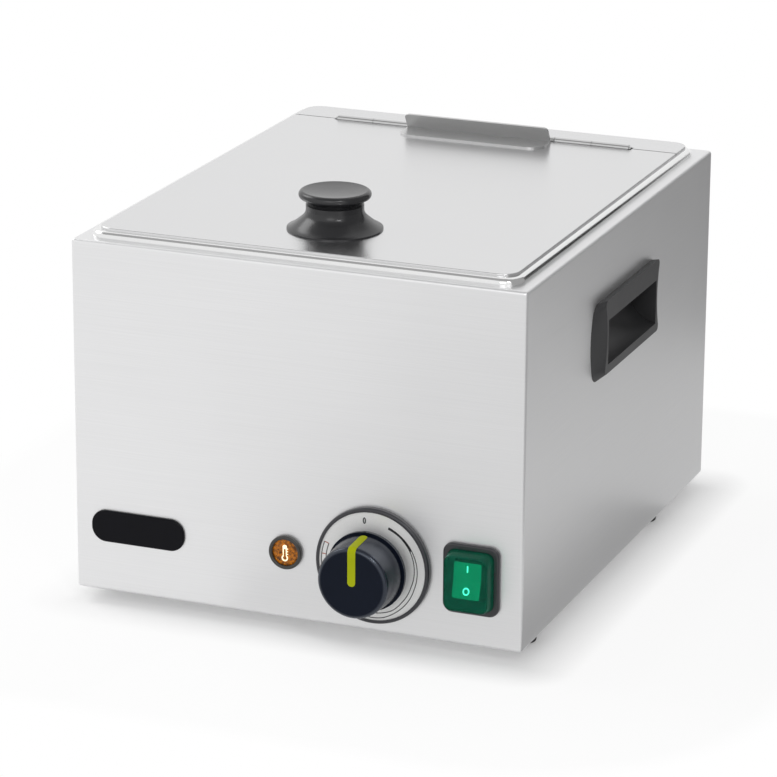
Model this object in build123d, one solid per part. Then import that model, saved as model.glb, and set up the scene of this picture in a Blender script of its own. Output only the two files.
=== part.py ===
from build123d import *
import os

os.makedirs("parts", exist_ok=True)

# Housing: folded stainless sheet, a front face 280 wide and 214 high
WIDTH = 280.0
DEPTH = 340.0
HEIGHT = 214.0
SHEET = 1.0
BEND = 2.0
BOTTOM_FLANGE = 20.0
PLATE_INSET = 2.0
THROUGH = 3.0
FOOT_HEIGHT = 8.0
KNOB_REACH = 34.5
GLAND_REACH = 20.0

# The origin is the middle of the whole object's box, at the feet
FRONT_Y = -(DEPTH + SHEET + GLAND_REACH - KNOB_REACH) / 2

# Screws: shank radii and the holes they pass through
TAPPING_R = 1.5
TAPPING_HOLE_R = 1.6
TAPPING_HEAD = (3.1, 2.2)
FOOT_SCREW_R = 2.0
FOOT_HOLE_R = 2.2
FOOT_SCREW_HEAD = (3.6, 2.4)
FOOT_RECESS = (4.2, 4.0)

# GN 1/2 pan: 265 by 325 over its flange, 100 deep
PAN_FLANGE_X = 265.0
PAN_FLANGE_Y = 325.0
PAN_FRONT = 5.0
PAN_DEPTH = 100.0
PAN_SHEET = 0.8
PAN_MOUTH_X = 240.0
PAN_MOUTH_Y = 300.0
PAN_MOUTH_R = 22.0
PAN_TAPER = 4.5
PAN_FLOOR_R = 10.0
FLANGE_HEIGHT = 4.4
FLANGE_CORNER = 11.0
FLANGE_SHOULDER = 3.4
MOUTH_LIP = 2.5
FLANGE_INNER = 4.0
PAN_MID = PAN_FRONT + PAN_FLANGE_Y / 2
DECK_CLEARANCE = 1.7

# Perforated false bottom that stands in the pan
FALSE_X = 206.0
FALSE_Y = 266.0
FALSE_HEIGHT = 14.0
FALSE_SHEET = 1.0
FALSE_CORNER = 14.0
FALSE_EDGE_R = 2.5
FALSE_HOLE_R = 3.5
FALSE_PITCH = 20.0
FALSE_ROWS = (9, 12)

# Heat well that hangs from the deck round the pan
WELL_X = 250.0
WELL_Y = 310.0
WELL_FLOOR = 90.0
WELL_CORNER = 22.0
WELL_FLANGE = 6.0
WELL_HOLE_Y = 118.0

# Lid: two hemmed sheets on the pan's flange, joined by a piano hinge
LID_HALF = 128.5
LID_FRONT = 9.0
LID_BACK = 329.0
LID_CORNER = 10.0
LID_EDGE = 0.7
LID_SHEET = 0.8
HEM = 8.0
SEAM = 1.0
LID_BOTTOM = HEIGHT + FLANGE_HEIGHT
LID_TOP = LID_BOTTOM + 2 * LID_SHEET
HINGE_AT = 301.5
KNUCKLE_R = 2.3
PIN_R = 1.2
PIN_CLEARANCE = 0.05
PIN_END = 1.2
LEAF = 1.4
LEAF_REACH = 14.0
KNUCKLES = 8
KNUCKLE_PITCH = 24.5
KNUCKLE_GAP = 0.3
KNUCKLE_CLEARANCE = 0.6
HINGE_HEIGHT = LID_TOP - LID_SHEET - LEAF + KNUCKLE_R
HINGE_HALF = KNUCKLES * KNUCKLE_PITCH / 2

# Lid stop bracket: an L of sheet whose leg leans over its base
STOP_HALF = 48.0
STOP_CREASE = 4.7
STOP_BASE = 21.0
STOP_LEG = 13.0
STOP_LEAN = 31.0
STOP_CORNER = 9.0
STOP_TIP_CORNER = 3.0

# Lid knob: a flared skirt, a neck with a ring, and a cap
LID_KNOB_Y = 60.0
LID_KNOB_H = 23.0
SKIRT_R = 28.0
NECK_R = 16.9
CAP_R = 21.1
LID_SCREW_R = 2.5

# Controls on the front panel, all on one line
CONTROL_Z = 41.0
BADGE_X = -99.4
BADGE_SIZE = (59.5, 19.5, 1.8)
BADGE_CORNER = 9.0
LAMP_X = -5.2
LAMP_R = 10.2
LAMP_LENS_R = 8.0
LAMP_REACH = 2.6
LAMP_BODY_R = 5.9
DIAL_X = 49.5
DIAL_R = 35.0
DIAL_PLATE_R = 32.7
DIAL_REACH = 3.8
DIAL_PLATE_T = 1.0
DIAL_RECESS = 0.6
DIAL_LEDGE = 2.7
KNOB_R = 21.3
KNOB_BASE_R = 22.4
KNOB_SKIRT_R = 23.8
KNOB_SKIRT_T = 2.2
KNOB_SKIRT_AT = 10.4
KNOB_HUB_R = 19.5
KNOB_BACK = 4.6
KNOB_EDGE = 3.0
KNOB_WALL = 2.8
KNOB_HOLLOW = 20.0
KNOB_BOSS_R = 7.0
SHAFT_R = 3.0
SHAFT_REACH = 24.0
SHAFT_DEPTH = 20.0
BUSH_R = 5.0
BUSH_REACH = 2.2
BUSH_HOLE_R = 5.2
THERMOSTAT = (44.0, 42.0, 36.0)
THERMOSTAT_SCREW_R = 2.0
POINTER_W = 4.8
POINTER_LOW = -1.5
POINTER_BACK = 14.5
POINTER_PROUD = 0.25
POINTER_GROOVE = 0.8
SWITCH_X = 109.5
SWITCH_SIZE = (34.0, 42.0)
SWITCH_REACH = 2.8
SWITCH_CORNER = 6.0
SWITCH_BODY = (23.0, 31.0)
SWITCH_DEPTH = 28.0
BOOT_BASE = (28.5, 36.0)
BOOT_FACE = (26.5, 33.0)
BOOT_REACH = 12.0
BOOT_WALL = 0.8
BOOT_CORNER = 5.0
ROCKER_SIZE = (16.6, 21.0)
ROCKER_FACE = 8.0
ROCKER_RISE = 1.1
ROCKER_TILT = 10.0
ROCKER_PIVOT = 1.5
TRUNNION_R = 1.5

# Side handles: a bevelled frame round a scooped finger pocket
HANDLE_Y = 171.0
HANDLE_LOW = 126.3
HANDLE_TOP = 174.0
HANDLE_HALF = 55.5
HANDLE_BOW = 5.5
HANDLE_CORNER = 9.0
HANDLE_FACE_LOW = 130.6
HANDLE_FACE_TOP = 175.8
HANDLE_FACE_HALF = 51.0
HANDLE_FACE_BOW = -4.4
HANDLE_FACE_CORNER = 3.0
HANDLE_REACH = 5.5
POCKET_HALF = 44.5
POCKET_WALL = 3.0
POCKET_BACK = 14.0
POCKET_WINDOW = (130.5, 171.5)

# Feet
FOOT_X = 126.0
FOOT_PLACES = (40.0, 262.0)
FOOT_R = 9.0

# Rear access panel over an opening in the shell's rear wall
REAR_HALF = 124.0
REAR_Z = (16.0, 199.0)
REAR_OPENING_HALF = 108.0
REAR_OPENING_Z = (30.0, 185.0)
GLAND_X = -85.0
GLAND_Z = 45.0
GLAND_BORE_R = 4.0
GLAND_THREAD_R = 8.0
GLAND_NUT_AF = 20.0
GLAND_CAP_R = 9.6

# Heating element: one tube bent into an M on the well's floor
TUBE_R = 4.0
TUBE_Z = 100.0
TUBE_BEND = 22.0
LEG_BEND = 8.0
LEG_END = 72.0
PIN_END_Z = LEG_END - 14
CUTOUT_BLADE = 8.0
LEG_X = 20.0
LEG_Y = 45.0

# Behind the panels
SLOT_W = 3.6
BLOCK_SIZE = (34.0, 20.0, 16.0)
BLOCK_ENTRY = 9.0
BLOCK_SCREW_R = 2.0
BLOCK_POLES = (-10, 0, 10)
BLOCK_ENDS = (-6, 6)
WIRE_R = 1.3
CAPILLARY_R = 1.0


def y(depth):
    """Y of a point this far behind the front panel's face."""
    return FRONT_Y + depth


def z(height):
    """Z of a point this far above the housing's underside."""
    return FOOT_HEIGHT + height


def block(x0, x1, y0, y1, z0, z1):
    """Box between two corners."""
    middle = Pos((x0 + x1) / 2, (y0 + y1) / 2, (z0 + z1) / 2)
    return middle * Box(x1 - x0, y1 - y0, z1 - z0)


def slab(half_x, y0, y1, z0, z1, corner):
    """Plate with rounded corners, centred on X, flat on XY."""
    outline = Pos(0, (y0 + y1) / 2, z0) * RectangleRounded(2 * half_x, y1 - y0, corner)
    return extrude(outline, z1 - z0)


def on_front(x, depth, height):
    """Place for a piece built along Z, so that its Z points out of the front panel."""
    return Plane(origin=(x, y(depth), z(height)), x_dir=(1, 0, 0), z_dir=(0, -1, 0)).location


def rod(start, end, radius):
    """Round bar between two points."""
    axis = Vector(*end) - Vector(*start)
    disc = Plane(origin=start, z_dir=axis) * Circle(radius)
    return extrude(disc, axis.length)


def upright(x, depth, low, high, radius):
    """Upright bar or hole between two heights."""
    return rod((x, y(depth), z(low)), (x, y(depth), z(high)), radius)


def along(x, height, start, end, radius):
    """Bar or hole along Y between two depths."""
    return rod((x, y(start), z(height)), (x, y(end), z(height)), radius)


def turned(points):
    """Solid of revolution about Z, from its (radius, height) points."""
    outline = Polyline(*[(r, 0, h) for r, h in points], close=True)
    return revolve(make_face(outline), axis=Axis.Z)


def prism_x(points, x0, x1):
    """Solid along X from its (y, z) outline."""
    outline = Polyline(*[(x0, a, b) for a, b in points], close=True)
    return extrude(make_face(outline), x1 - x0, dir=(1, 0, 0))


def prism_y(points, y0, y1):
    """Solid along Y from its (x, z) outline."""
    outline = Polyline(*[(a, y0, b) for a, b in points], close=True)
    return extrude(make_face(outline), y1 - y0, dir=(0, 1, 0))


def screw(head_r, head_h, shank_r, length):
    """Cross-slot pan-head screw along Z, with its seat at Z = 0."""
    head = Pos(0, 0, head_h / 2) * Cylinder(head_r, head_h)
    head = fillet(head.edges().sort_by(Axis.Z)[-1], head_h * 0.45)
    slot = Pos(0, 0, head_h) * (Box(head_r * 1.1, 0.9, head_h) + Box(0.9, head_r * 1.1, head_h))
    shank = Pos(0, 0, -length / 2) * Cylinder(shank_r, length)
    return head - slot + shank


def hex_nut(across_flats, height, bore_r):
    """Nut along Z, from Z = 0 up."""
    outline = RegularPolygon(across_flats / 2, 6, major_radius=False)
    body = extrude(outline, height)
    return body - Pos(0, 0, height / 2) * Cylinder(bore_r, 2 * height)


def group(solids):
    """Like pieces that share one node."""
    return Compound(children=list(solids))


# Places that several pieces share
FOOT_POINTS = [(side * FOOT_X, place) for place in FOOT_PLACES for side in (-1, 1)]
BOTTOM_SCREW_POINTS = [(side * 130.0, depth) for depth in (95.0, 180.0, 310.0) for side in (-1, 1)]
BOTTOM_SCREW_POINTS += [(0.0, 12.0), (0.0, 328.0)]
REAR_SCREW_POINTS = [(side * 117.0, height) for height in (23.0, 107.5, 192.0) for side in (-1, 1)]
REAR_SCREW_POINTS += [(0.0, 23.0), (0.0, 192.0)]
THERMOSTAT_SCREWS = (-14.0, 14.0)
CLIP_POINTS = [(-90.0, 120.0), (-90.0, 220.0), (90.0, 120.0), (90.0, 220.0)]
BULB_CLIPS = (150.0, 210.0)
BULB_Z = 95.5
BULB_R = 3.0
BULB_ENDS = (130.0, 230.0)
BLOCK_X = -60.0
BLOCK_Y = 300.0
STUD_X = 20.0
STUD_Y = 240.0
STUD_R = 2.5


def housing_shell():
    """Front, sides and deck, folded and welded, with return flanges below and behind."""
    outer = block(-WIDTH / 2, WIDTH / 2, y(0), y(DEPTH), z(0), z(HEIGHT))
    outer = fillet(outer.edges(), BEND)
    inside = WIDTH / 2 - SHEET
    inner = block(-inside, inside, y(SHEET), y(DEPTH - SHEET), z(SHEET), z(HEIGHT - SHEET))
    inner = fillet(inner.edges(), BEND - SHEET)
    shell = outer - inner
    half_x = PAN_MOUTH_X / 2 + PAN_SHEET + DECK_CLEARANCE
    half_y = PAN_MOUTH_Y / 2 + PAN_SHEET + DECK_CLEARANCE
    corner = PAN_MOUTH_R + DECK_CLEARANCE
    mouth_y0, mouth_y1 = y(PAN_MID - half_y), y(PAN_MID + half_y)
    shell -= slab(half_x, mouth_y0, mouth_y1, z(HEIGHT - THROUGH), z(HEIGHT + THROUGH), corner)
    low = WIDTH / 2 - BOTTOM_FLANGE
    shell -= slab(low, y(BOTTOM_FLANGE), y(DEPTH - BOTTOM_FLANGE), z(-THROUGH), z(THROUGH), 8)
    wide = REAR_OPENING_HALF
    y0, y1 = y(DEPTH - THROUGH), y(DEPTH + THROUGH)
    shell -= block(-wide, wide, y0, y1, z(REAR_OPENING_Z[0]), z(REAR_OPENING_Z[1]))
    for x, depth in FOOT_POINTS:
        shell -= upright(x, depth, -THROUGH, THROUGH, FOOT_HOLE_R)
    for x, depth in BOTTOM_SCREW_POINTS:
        shell -= upright(x, depth, -THROUGH, THROUGH, TAPPING_HOLE_R)
    for x, height in REAR_SCREW_POINTS:
        shell -= along(x, height, DEPTH - THROUGH, DEPTH + THROUGH, TAPPING_HOLE_R)
    shell -= on_front(DIAL_X, 0, CONTROL_Z) * Cylinder(BUSH_HOLE_R, 2 * THROUGH)
    for offset in THERMOSTAT_SCREWS:
        hole = Cylinder(THERMOSTAT_SCREW_R + 0.1, 2 * THROUGH)
        shell -= on_front(DIAL_X, 0, CONTROL_Z + offset) * hole
    shell -= on_front(LAMP_X, 0, CONTROL_Z) * Cylinder(LAMP_BODY_R + 0.1, 2 * THROUGH)
    width, height = SWITCH_BODY
    shell -= on_front(SWITCH_X, 0, CONTROL_Z) * Box(width + 0.4, height + 0.4, 2 * THROUGH)
    reach = POCKET_HALF + POCKET_WALL + 0.5
    low, high = POCKET_WINDOW
    for side in (-1, 1):
        x0, x1 = sorted((side * (WIDTH / 2 - THROUGH), side * (WIDTH / 2 + THROUGH)))
        shell -= block(x0, x1, y(HANDLE_Y - reach), y(HANDLE_Y + reach), z(low), z(high))
    return shell


def rear_panel():
    """Access panel with cooling slots and the hole of the cable gland."""
    x0, x1 = -REAR_HALF, REAR_HALF
    plate = block(x0, x1, y(DEPTH), y(DEPTH + SHEET), z(REAR_Z[0]), z(REAR_Z[1]))
    plate = fillet(plate.edges().filter_by(Axis.Y), 4)
    for x, height in REAR_SCREW_POINTS:
        plate -= along(x, height, DEPTH - THROUGH, DEPTH + THROUGH, TAPPING_HOLE_R)
    plate -= along(GLAND_X, GLAND_Z, DEPTH - THROUGH, DEPTH + THROUGH, GLAND_THREAD_R)
    slot = Rot(90, 0, 0) * extrude(SlotOverall(40, SLOT_W), THROUGH, both=True)
    for column in (-1, 0, 1):
        for row in range(5):
            plate -= Pos(column * 60, y(DEPTH), z(130 + 9 * row)) * slot
    return plate


def rear_panel_screws():
    """Eight self-tapping screws round the rear panel."""
    piece = screw(*TAPPING_HEAD, TAPPING_R, 9)
    place = Rot(-90, 0, 0)
    return group(Pos(x, y(DEPTH + SHEET), z(h)) * place * piece for x, h in REAR_SCREW_POINTS)


def bottom_plate():
    """Plate on the bottom flanges, with cooling slots under the control space."""
    inset = SHEET + PLATE_INSET
    plate = slab(WIDTH / 2 - inset, y(inset), y(DEPTH - inset), z(SHEET), z(2 * SHEET), 3)
    for x, depth in FOOT_POINTS:
        plate -= upright(x, depth, 0, THROUGH, FOOT_HOLE_R)
    for x, depth in BOTTOM_SCREW_POINTS:
        plate -= upright(x, depth, 0, THROUGH, TAPPING_HOLE_R)
    plate -= upright(STUD_X, STUD_Y, 0, THROUGH, STUD_R)
    slot = extrude(SlotOverall(44, SLOT_W), THROUGH, both=True)
    for column in (-1, 1):
        for row in range(8):
            plate -= Pos(column * 55, y(110 + 14 * row), z(SHEET)) * slot
    return plate


def bottom_plate_screws():
    """Eight self-tapping screws up through the bottom flanges."""
    piece = screw(*TAPPING_HEAD, TAPPING_R, 8)
    return group(Pos(x, y(depth), z(0)) * Rot(180, 0, 0) * piece for x, depth in BOTTOM_SCREW_POINTS)


def foot(x, depth):
    """Tapered rubber foot with a recess for its screw."""
    body = Pos(x, y(depth), FOOT_HEIGHT / 2) * Cone(FOOT_R - 0.8, FOOT_R, FOOT_HEIGHT)
    body = fillet(body.edges().sort_by(Axis.Z)[0], 1.0)
    recess_r, recess_h = FOOT_RECESS
    body -= Pos(x, y(depth), recess_h / 2) * Cylinder(recess_r, recess_h)
    return body - upright(x, depth, -FOOT_HEIGHT, 0, FOOT_SCREW_R + 0.1)


def foot_screws():
    """One screw up through each foot, its head in the recess."""
    piece = screw(*FOOT_SCREW_HEAD, FOOT_SCREW_R, 12)
    return group(Pos(x, y(depth), FOOT_RECESS[1]) * Rot(180, 0, 0) * piece for x, depth in FOOT_POINTS)


def foot_nuts():
    """Nuts of the foot screws, on the bottom plate."""
    piece = hex_nut(7, 3, FOOT_SCREW_R)
    return group(Pos(x, y(depth), z(2 * SHEET)) * piece for x, depth in FOOT_POINTS)


def heat_well():
    """Sheet box round the pan, open at the top, hung by its flange from the deck."""
    y0, y1 = y(PAN_MID - WELL_Y / 2), y(PAN_MID + WELL_Y / 2)
    top = z(HEIGHT - SHEET)
    outer = slab(WELL_X / 2, y0, y1, z(WELL_FLOOR), top, WELL_CORNER)
    wide = WELL_X / 2 + WELL_FLANGE
    far0, far1 = y0 - WELL_FLANGE, y1 + WELL_FLANGE
    flange = slab(wide, far0, far1, top - SHEET, top, WELL_CORNER + WELL_FLANGE)
    narrow, floor = WELL_X / 2 - SHEET, z(WELL_FLOOR + SHEET)
    inner = slab(narrow, y0 + SHEET, y1 - SHEET, floor, top + SHEET, WELL_CORNER - SHEET)
    well = outer + flange - inner
    low, high = WELL_FLOOR - THROUGH, WELL_FLOOR + THROUGH
    for side in (-1, 1):
        well -= upright(side * LEG_X, LEG_Y, low, high, TUBE_R + 0.1)
    return well - upright(0, WELL_HOLE_Y, low, high, CAPILLARY_R + 0.6)


def heating_element():
    """Tube heater: two legs through the well's floor and an M between them."""
    left = [(-90, LEG_Y), (-90, 285), (-32, 285), (-32, 105)]
    flat = left + [(-x, depth) for x, depth in reversed(left)]
    route = [(-LEG_X, y(LEG_Y), z(LEG_END)), (-LEG_X, y(LEG_Y), z(TUBE_Z))]
    route += [(x, y(depth), z(TUBE_Z)) for x, depth in flat]
    route += [(LEG_X, y(LEG_Y), z(TUBE_Z)), (LEG_X, y(LEG_Y), z(LEG_END))]
    bends = [LEG_BEND] + [TUBE_BEND] * len(flat) + [LEG_BEND]
    path = FilletPolyline(*route, radius=bends)
    return sweep(Plane(origin=path @ 0, z_dir=path % 0) * Circle(TUBE_R), path=path)


def element_nuts():
    """Flanged nuts that clamp the legs under the well's floor."""
    piece = hex_nut(14, 5, TUBE_R)
    return group(Pos(side * LEG_X, y(LEG_Y), z(WELL_FLOOR - 5)) * piece for side in (-1, 1))


def element_terminals():
    """Ceramic bead and pin at each end of the heater."""
    piece = Pos(0, 0, -2) * Cylinder(3.4, 4) + Pos(0, 0, -9) * Cylinder(1.5, 10)
    return group(Pos(side * LEG_X, y(LEG_Y), z(LEG_END)) * piece for side in (-1, 1))


def saddle(width, length, height, radius):
    """Post along Y whose top cradles a round bar whose axis is at the given height."""
    post = Pos(0, 0, height / 2) * Box(width, length, height)
    return post - Pos(0, 0, height) * Rot(90, 0, 0) * Cylinder(radius, 2 * length)


def element_supports():
    """Saddles that hold the heater above the well's floor."""
    piece = saddle(14, 10, TUBE_Z - WELL_FLOOR - SHEET, TUBE_R)
    return group(Pos(x, y(depth), z(WELL_FLOOR + SHEET)) * piece for x, depth in CLIP_POINTS)


def bulb_clips():
    """Saddles that hold the thermostat's bulb."""
    piece = saddle(10, 8, BULB_Z - WELL_FLOOR - SHEET, BULB_R)
    return group(Pos(0, y(depth), z(WELL_FLOOR + SHEET)) * piece for depth in BULB_CLIPS)


def thermostat_bulb():
    """Sensing bulb in the well and its capillary down to the thermostat."""
    bulb = along(0, BULB_Z, *BULB_ENDS, BULB_R)
    route = [(0, BULB_ENDS[0] + 0.5, BULB_Z), (0, WELL_HOLE_Y, BULB_Z), (0, WELL_HOLE_Y, 60)]
    route += [(40, 70, 48), (DIAL_X, 52, CONTROL_Z), (DIAL_X, THERMOSTAT[2], CONTROL_Z)]
    return bulb + wire(route, [5, 12, 12, 6], CAPILLARY_R)


def thermostat_body():
    """Thermostat behind the panel, with the bush that its shaft turns in."""
    width, height, back = THERMOSTAT
    body = on_front(DIAL_X, (SHEET + back) / 2, CONTROL_Z) * Box(width, height, back - SHEET)
    body = fillet(body.edges().filter_by(Axis.Y), 3)
    body += along(DIAL_X, CONTROL_Z, -BUSH_REACH, SHEET + 0.2, BUSH_R)
    body -= along(DIAL_X, CONTROL_Z, -THROUGH, SHAFT_DEPTH + 1, SHAFT_R + 0.05)
    for offset in THERMOSTAT_SCREWS:
        body -= along(DIAL_X, CONTROL_Z + offset, -THROUGH, 10, THERMOSTAT_SCREW_R)
    return body


def thermostat_shaft():
    """Steel shaft from the thermostat into the knob."""
    return along(DIAL_X, CONTROL_Z, -SHAFT_REACH, SHAFT_DEPTH, SHAFT_R)


def thermostat_screws():
    """Two screws behind the dial that hold the thermostat."""
    piece = screw(3.5, 2.0, THERMOSTAT_SCREW_R, 8)
    return group(on_front(DIAL_X, 0, CONTROL_Z + offset) * piece for offset in THERMOSTAT_SCREWS)


def safety_cutout():
    """Bimetal cut-out on the underside of the well's floor."""
    body = block(-70, -50, y(150), y(166), z(WELL_FLOOR - 12), z(WELL_FLOOR))
    body = fillet(body.edges().filter_by(Axis.Z), 2)
    low, high = WELL_FLOOR - CUTOUT_BLADE - 0.5, WELL_FLOOR - CUTOUT_BLADE + 0.5
    for x in (-73.0, -47.0):
        body += block(x - 4, x + 4, y(155), y(161), z(low), z(high))
    return body


def badge_plate():
    """Bare badge plate on the front panel."""
    width, height, thick = BADGE_SIZE
    plate = extrude(RectangleRounded(width, height, BADGE_CORNER), thick)
    plate = fillet(plate.faces().sort_by(Axis.Z)[-1].edges(), 0.9)
    return on_front(BADGE_X, 0, CONTROL_Z) * plate


def lamp_bezel():
    """Black collar round the pilot lamp's lens."""
    collar = turned([(LAMP_LENS_R, 0), (LAMP_R, 0), (LAMP_R, LAMP_REACH), (LAMP_LENS_R, LAMP_REACH)])
    collar = fillet(collar.edges().sort_by(Axis.Z)[-2:], 0.8)
    return on_front(LAMP_X, 0, CONTROL_Z) * collar


def lamp_lens():
    """Amber lens, slightly domed."""
    lens = Cylinder(LAMP_LENS_R, 2.2, align=(Align.CENTER, Align.CENTER, Align.MIN))
    lens = fillet(lens.edges().sort_by(Axis.Z)[-1], 0.7)
    return on_front(LAMP_X, 0, CONTROL_Z) * lens


def lamp_body():
    """Lamp body through the panel, with its two blades."""
    body = Pos(0, 0, -15) * Cylinder(LAMP_BODY_R, 30)
    for side in (-1, 1):
        body += Pos(side * 2.8, 0, -34) * Box(0.8, 4.8, 8)
    return on_front(LAMP_X, 0, CONTROL_Z) * body


def lamp_nut():
    """Nut of the pilot lamp, behind the panel."""
    return on_front(LAMP_X, SHEET + 4, CONTROL_Z) * hex_nut(16, 4, LAMP_BODY_R)


def dial_ring():
    """Black ring that carries the dial plate."""
    ledge = DIAL_REACH - DIAL_RECESS - DIAL_PLATE_T
    inner = DIAL_PLATE_R - DIAL_LEDGE
    points = [(inner, 0), (DIAL_R, 0), (DIAL_R, DIAL_REACH), (DIAL_PLATE_R, DIAL_REACH)]
    ring = turned(points + [(DIAL_PLATE_R, ledge), (inner, ledge)])
    rim = ring.edges().filter_by(GeomType.CIRCLE).group_by(Axis.Z)[-1].sort_by(lambda edge: edge.radius)[-1]
    return on_front(DIAL_X, 0, CONTROL_Z) * fillet(rim, 1.4)


def dial_plate():
    """Brushed disc of the dial, with a hole for the shaft's bush."""
    end = DIAL_REACH - DIAL_RECESS
    start = end - DIAL_PLATE_T
    points = [(BUSH_HOLE_R, start), (DIAL_PLATE_R, start), (DIAL_PLATE_R, end), (BUSH_HOLE_R, end)]
    return on_front(DIAL_X, 0, CONTROL_Z) * turned(points)


def knob_form(grow):
    """Outside of the control knob, grown by an amount, along Z from the panel's face."""
    start = KNOB_BACK - grow
    end = KNOB_REACH + grow - POINTER_PROUD
    hub, skirt = KNOB_HUB_R + grow, KNOB_SKIRT_R + grow
    back, front = KNOB_SKIRT_AT - grow, KNOB_SKIRT_AT + KNOB_SKIRT_T + grow
    points = [(0, start), (hub, start), (hub, back), (skirt, back), (skirt, front)]
    form = turned(points + [(KNOB_BASE_R + grow, front), (KNOB_R + grow, end), (0, end)])
    return fillet(form.edges().sort_by(Axis.Z)[-1], KNOB_EDGE + grow)


def pointer_strip(half_width):
    """Space of the pointer: over the face and down the side, with a round end on each."""
    end = KNOB_REACH + 10
    low, back = POINTER_LOW + half_width, POINTER_BACK + half_width
    over_face = Pos(0, low + KNOB_R, end / 2) * Box(2 * half_width, 2 * KNOB_R, end)
    over_face += Pos(0, low, end / 2) * Cylinder(half_width, end)
    down_side = Pos(0, 0, (back + end) / 2) * Box(2 * half_width, 3 * KNOB_R, end - back)
    down_side += Pos(0, 0, back) * Rot(90, 0, 0) * Cylinder(half_width, 3 * KNOB_R)
    return over_face & down_side


def control_knob():
    """Thermostat knob with the pointer's groove and a blind bore for the shaft."""
    groove = pointer_strip(POINTER_W / 2) - knob_form(-POINTER_GROOVE)
    bore = Pos(0, 0, SHAFT_REACH / 2) * Cylinder(SHAFT_R, SHAFT_REACH)
    ring = Cylinder(KNOB_HUB_R - KNOB_WALL, KNOB_HOLLOW) - Cylinder(KNOB_BOSS_R, KNOB_HOLLOW)
    hollow = Pos(0, 0, KNOB_BACK + KNOB_HOLLOW / 2) * ring
    return on_front(DIAL_X, 0, CONTROL_Z) * (knob_form(0) - groove - bore - hollow)


def knob_pointer():
    """Coloured strip set into the knob."""
    proud = knob_form(POINTER_PROUD) - knob_form(-POINTER_GROOVE)
    return on_front(DIAL_X, 0, CONTROL_Z) * (proud & pointer_strip(POINTER_W / 2))


def switch_frame():
    """Frame and body of the rocker switch."""
    frame = extrude(RectangleRounded(*SWITCH_SIZE, SWITCH_CORNER), SWITCH_REACH)
    frame = fillet(frame.faces().sort_by(Axis.Z)[-1].edges(), 1.2)
    body = Pos(0, 0, -SWITCH_DEPTH / 2) * Box(*SWITCH_BODY, SWITCH_DEPTH)
    width, height = ROCKER_SIZE
    cavity = Box(width + 1.2, height + 3.4, 20)
    pivot = Pos(0, 0, -ROCKER_PIVOT) * Rot(0, 90, 0) * Cylinder(TRUNNION_R + 0.06, width + 3.2)
    return on_front(SWITCH_X, 0, CONTROL_Z) * (frame + body - cavity - pivot)


def switch_boot():
    """Clear flexible cover over the rocker."""
    def outline(size, shrink, level):
        width, height = size
        corner = BOOT_CORNER - shrink
        return Pos(0, 0, level) * RectangleRounded(width - 2 * shrink, height - 2 * shrink, corner)
    outer = loft([outline(BOOT_BASE, 0, SWITCH_REACH), outline(BOOT_FACE, 0, BOOT_REACH)])
    outer = fillet(outer.faces().sort_by(Axis.Z)[-1].edges(), 1.6)
    top = BOOT_REACH - BOOT_WALL
    inner = loft([outline(BOOT_BASE, BOOT_WALL, SWITCH_REACH - 0.01), outline(BOOT_FACE, BOOT_WALL, top)])
    return on_front(SWITCH_X, 0, CONTROL_Z) * (outer - inner)


def switch_terminals():
    """Four blades behind the switch."""
    blade = Pos(0, 0, -SWITCH_DEPTH - 4) * Box(6.3, 0.8, 8)
    place = on_front(SWITCH_X, 0, CONTROL_Z)
    return group(place * Pos(a, b, 0) * blade for a in (-6, 6) for b in (-8, 8))


def rocker():
    """Rocker with a shallow V face and two trunnions, its upper half pressed in."""
    half_w, half_h = ROCKER_SIZE[0] / 2, ROCKER_SIZE[1] / 2
    edge = ROCKER_FACE + ROCKER_RISE
    profile = [(-half_h, -4), (half_h, -4), (half_h, edge), (0, ROCKER_FACE), (-half_h, edge)]
    body = prism_x(profile, -half_w, half_w)
    body = fillet(body.edges().filter_by(Axis.Z), 1.2)
    pin = Pos(0, 0, -ROCKER_PIVOT) * Rot(0, 90, 0) * Cylinder(TRUNNION_R, ROCKER_SIZE[0] + 2.6)
    tilt = Pos(0, 0, -ROCKER_PIVOT) * Rot(-ROCKER_TILT, 0, 0) * Pos(0, 0, ROCKER_PIVOT)
    return on_front(SWITCH_X, 0, CONTROL_Z) * tilt * (body + pin)


def handle_outline(x, half, low, top, bow, corner):
    """Outline of the handle's frame in a plane across X, with bowed ends."""
    middle, level = y(HANDLE_Y), z((low + top) / 2)
    near, far = middle - half, middle + half
    outline = make_face([
        Line((x, near, z(top)), (x, far, z(top))),
        ThreePointArc((x, far, z(top)), (x, far + bow, level), (x, far, z(low))),
        Line((x, far, z(low)), (x, near, z(low))),
        ThreePointArc((x, near, z(low)), (x, near - bow, level), (x, near, z(top))),
    ])
    return fillet(outline.vertices(), corner)


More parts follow.
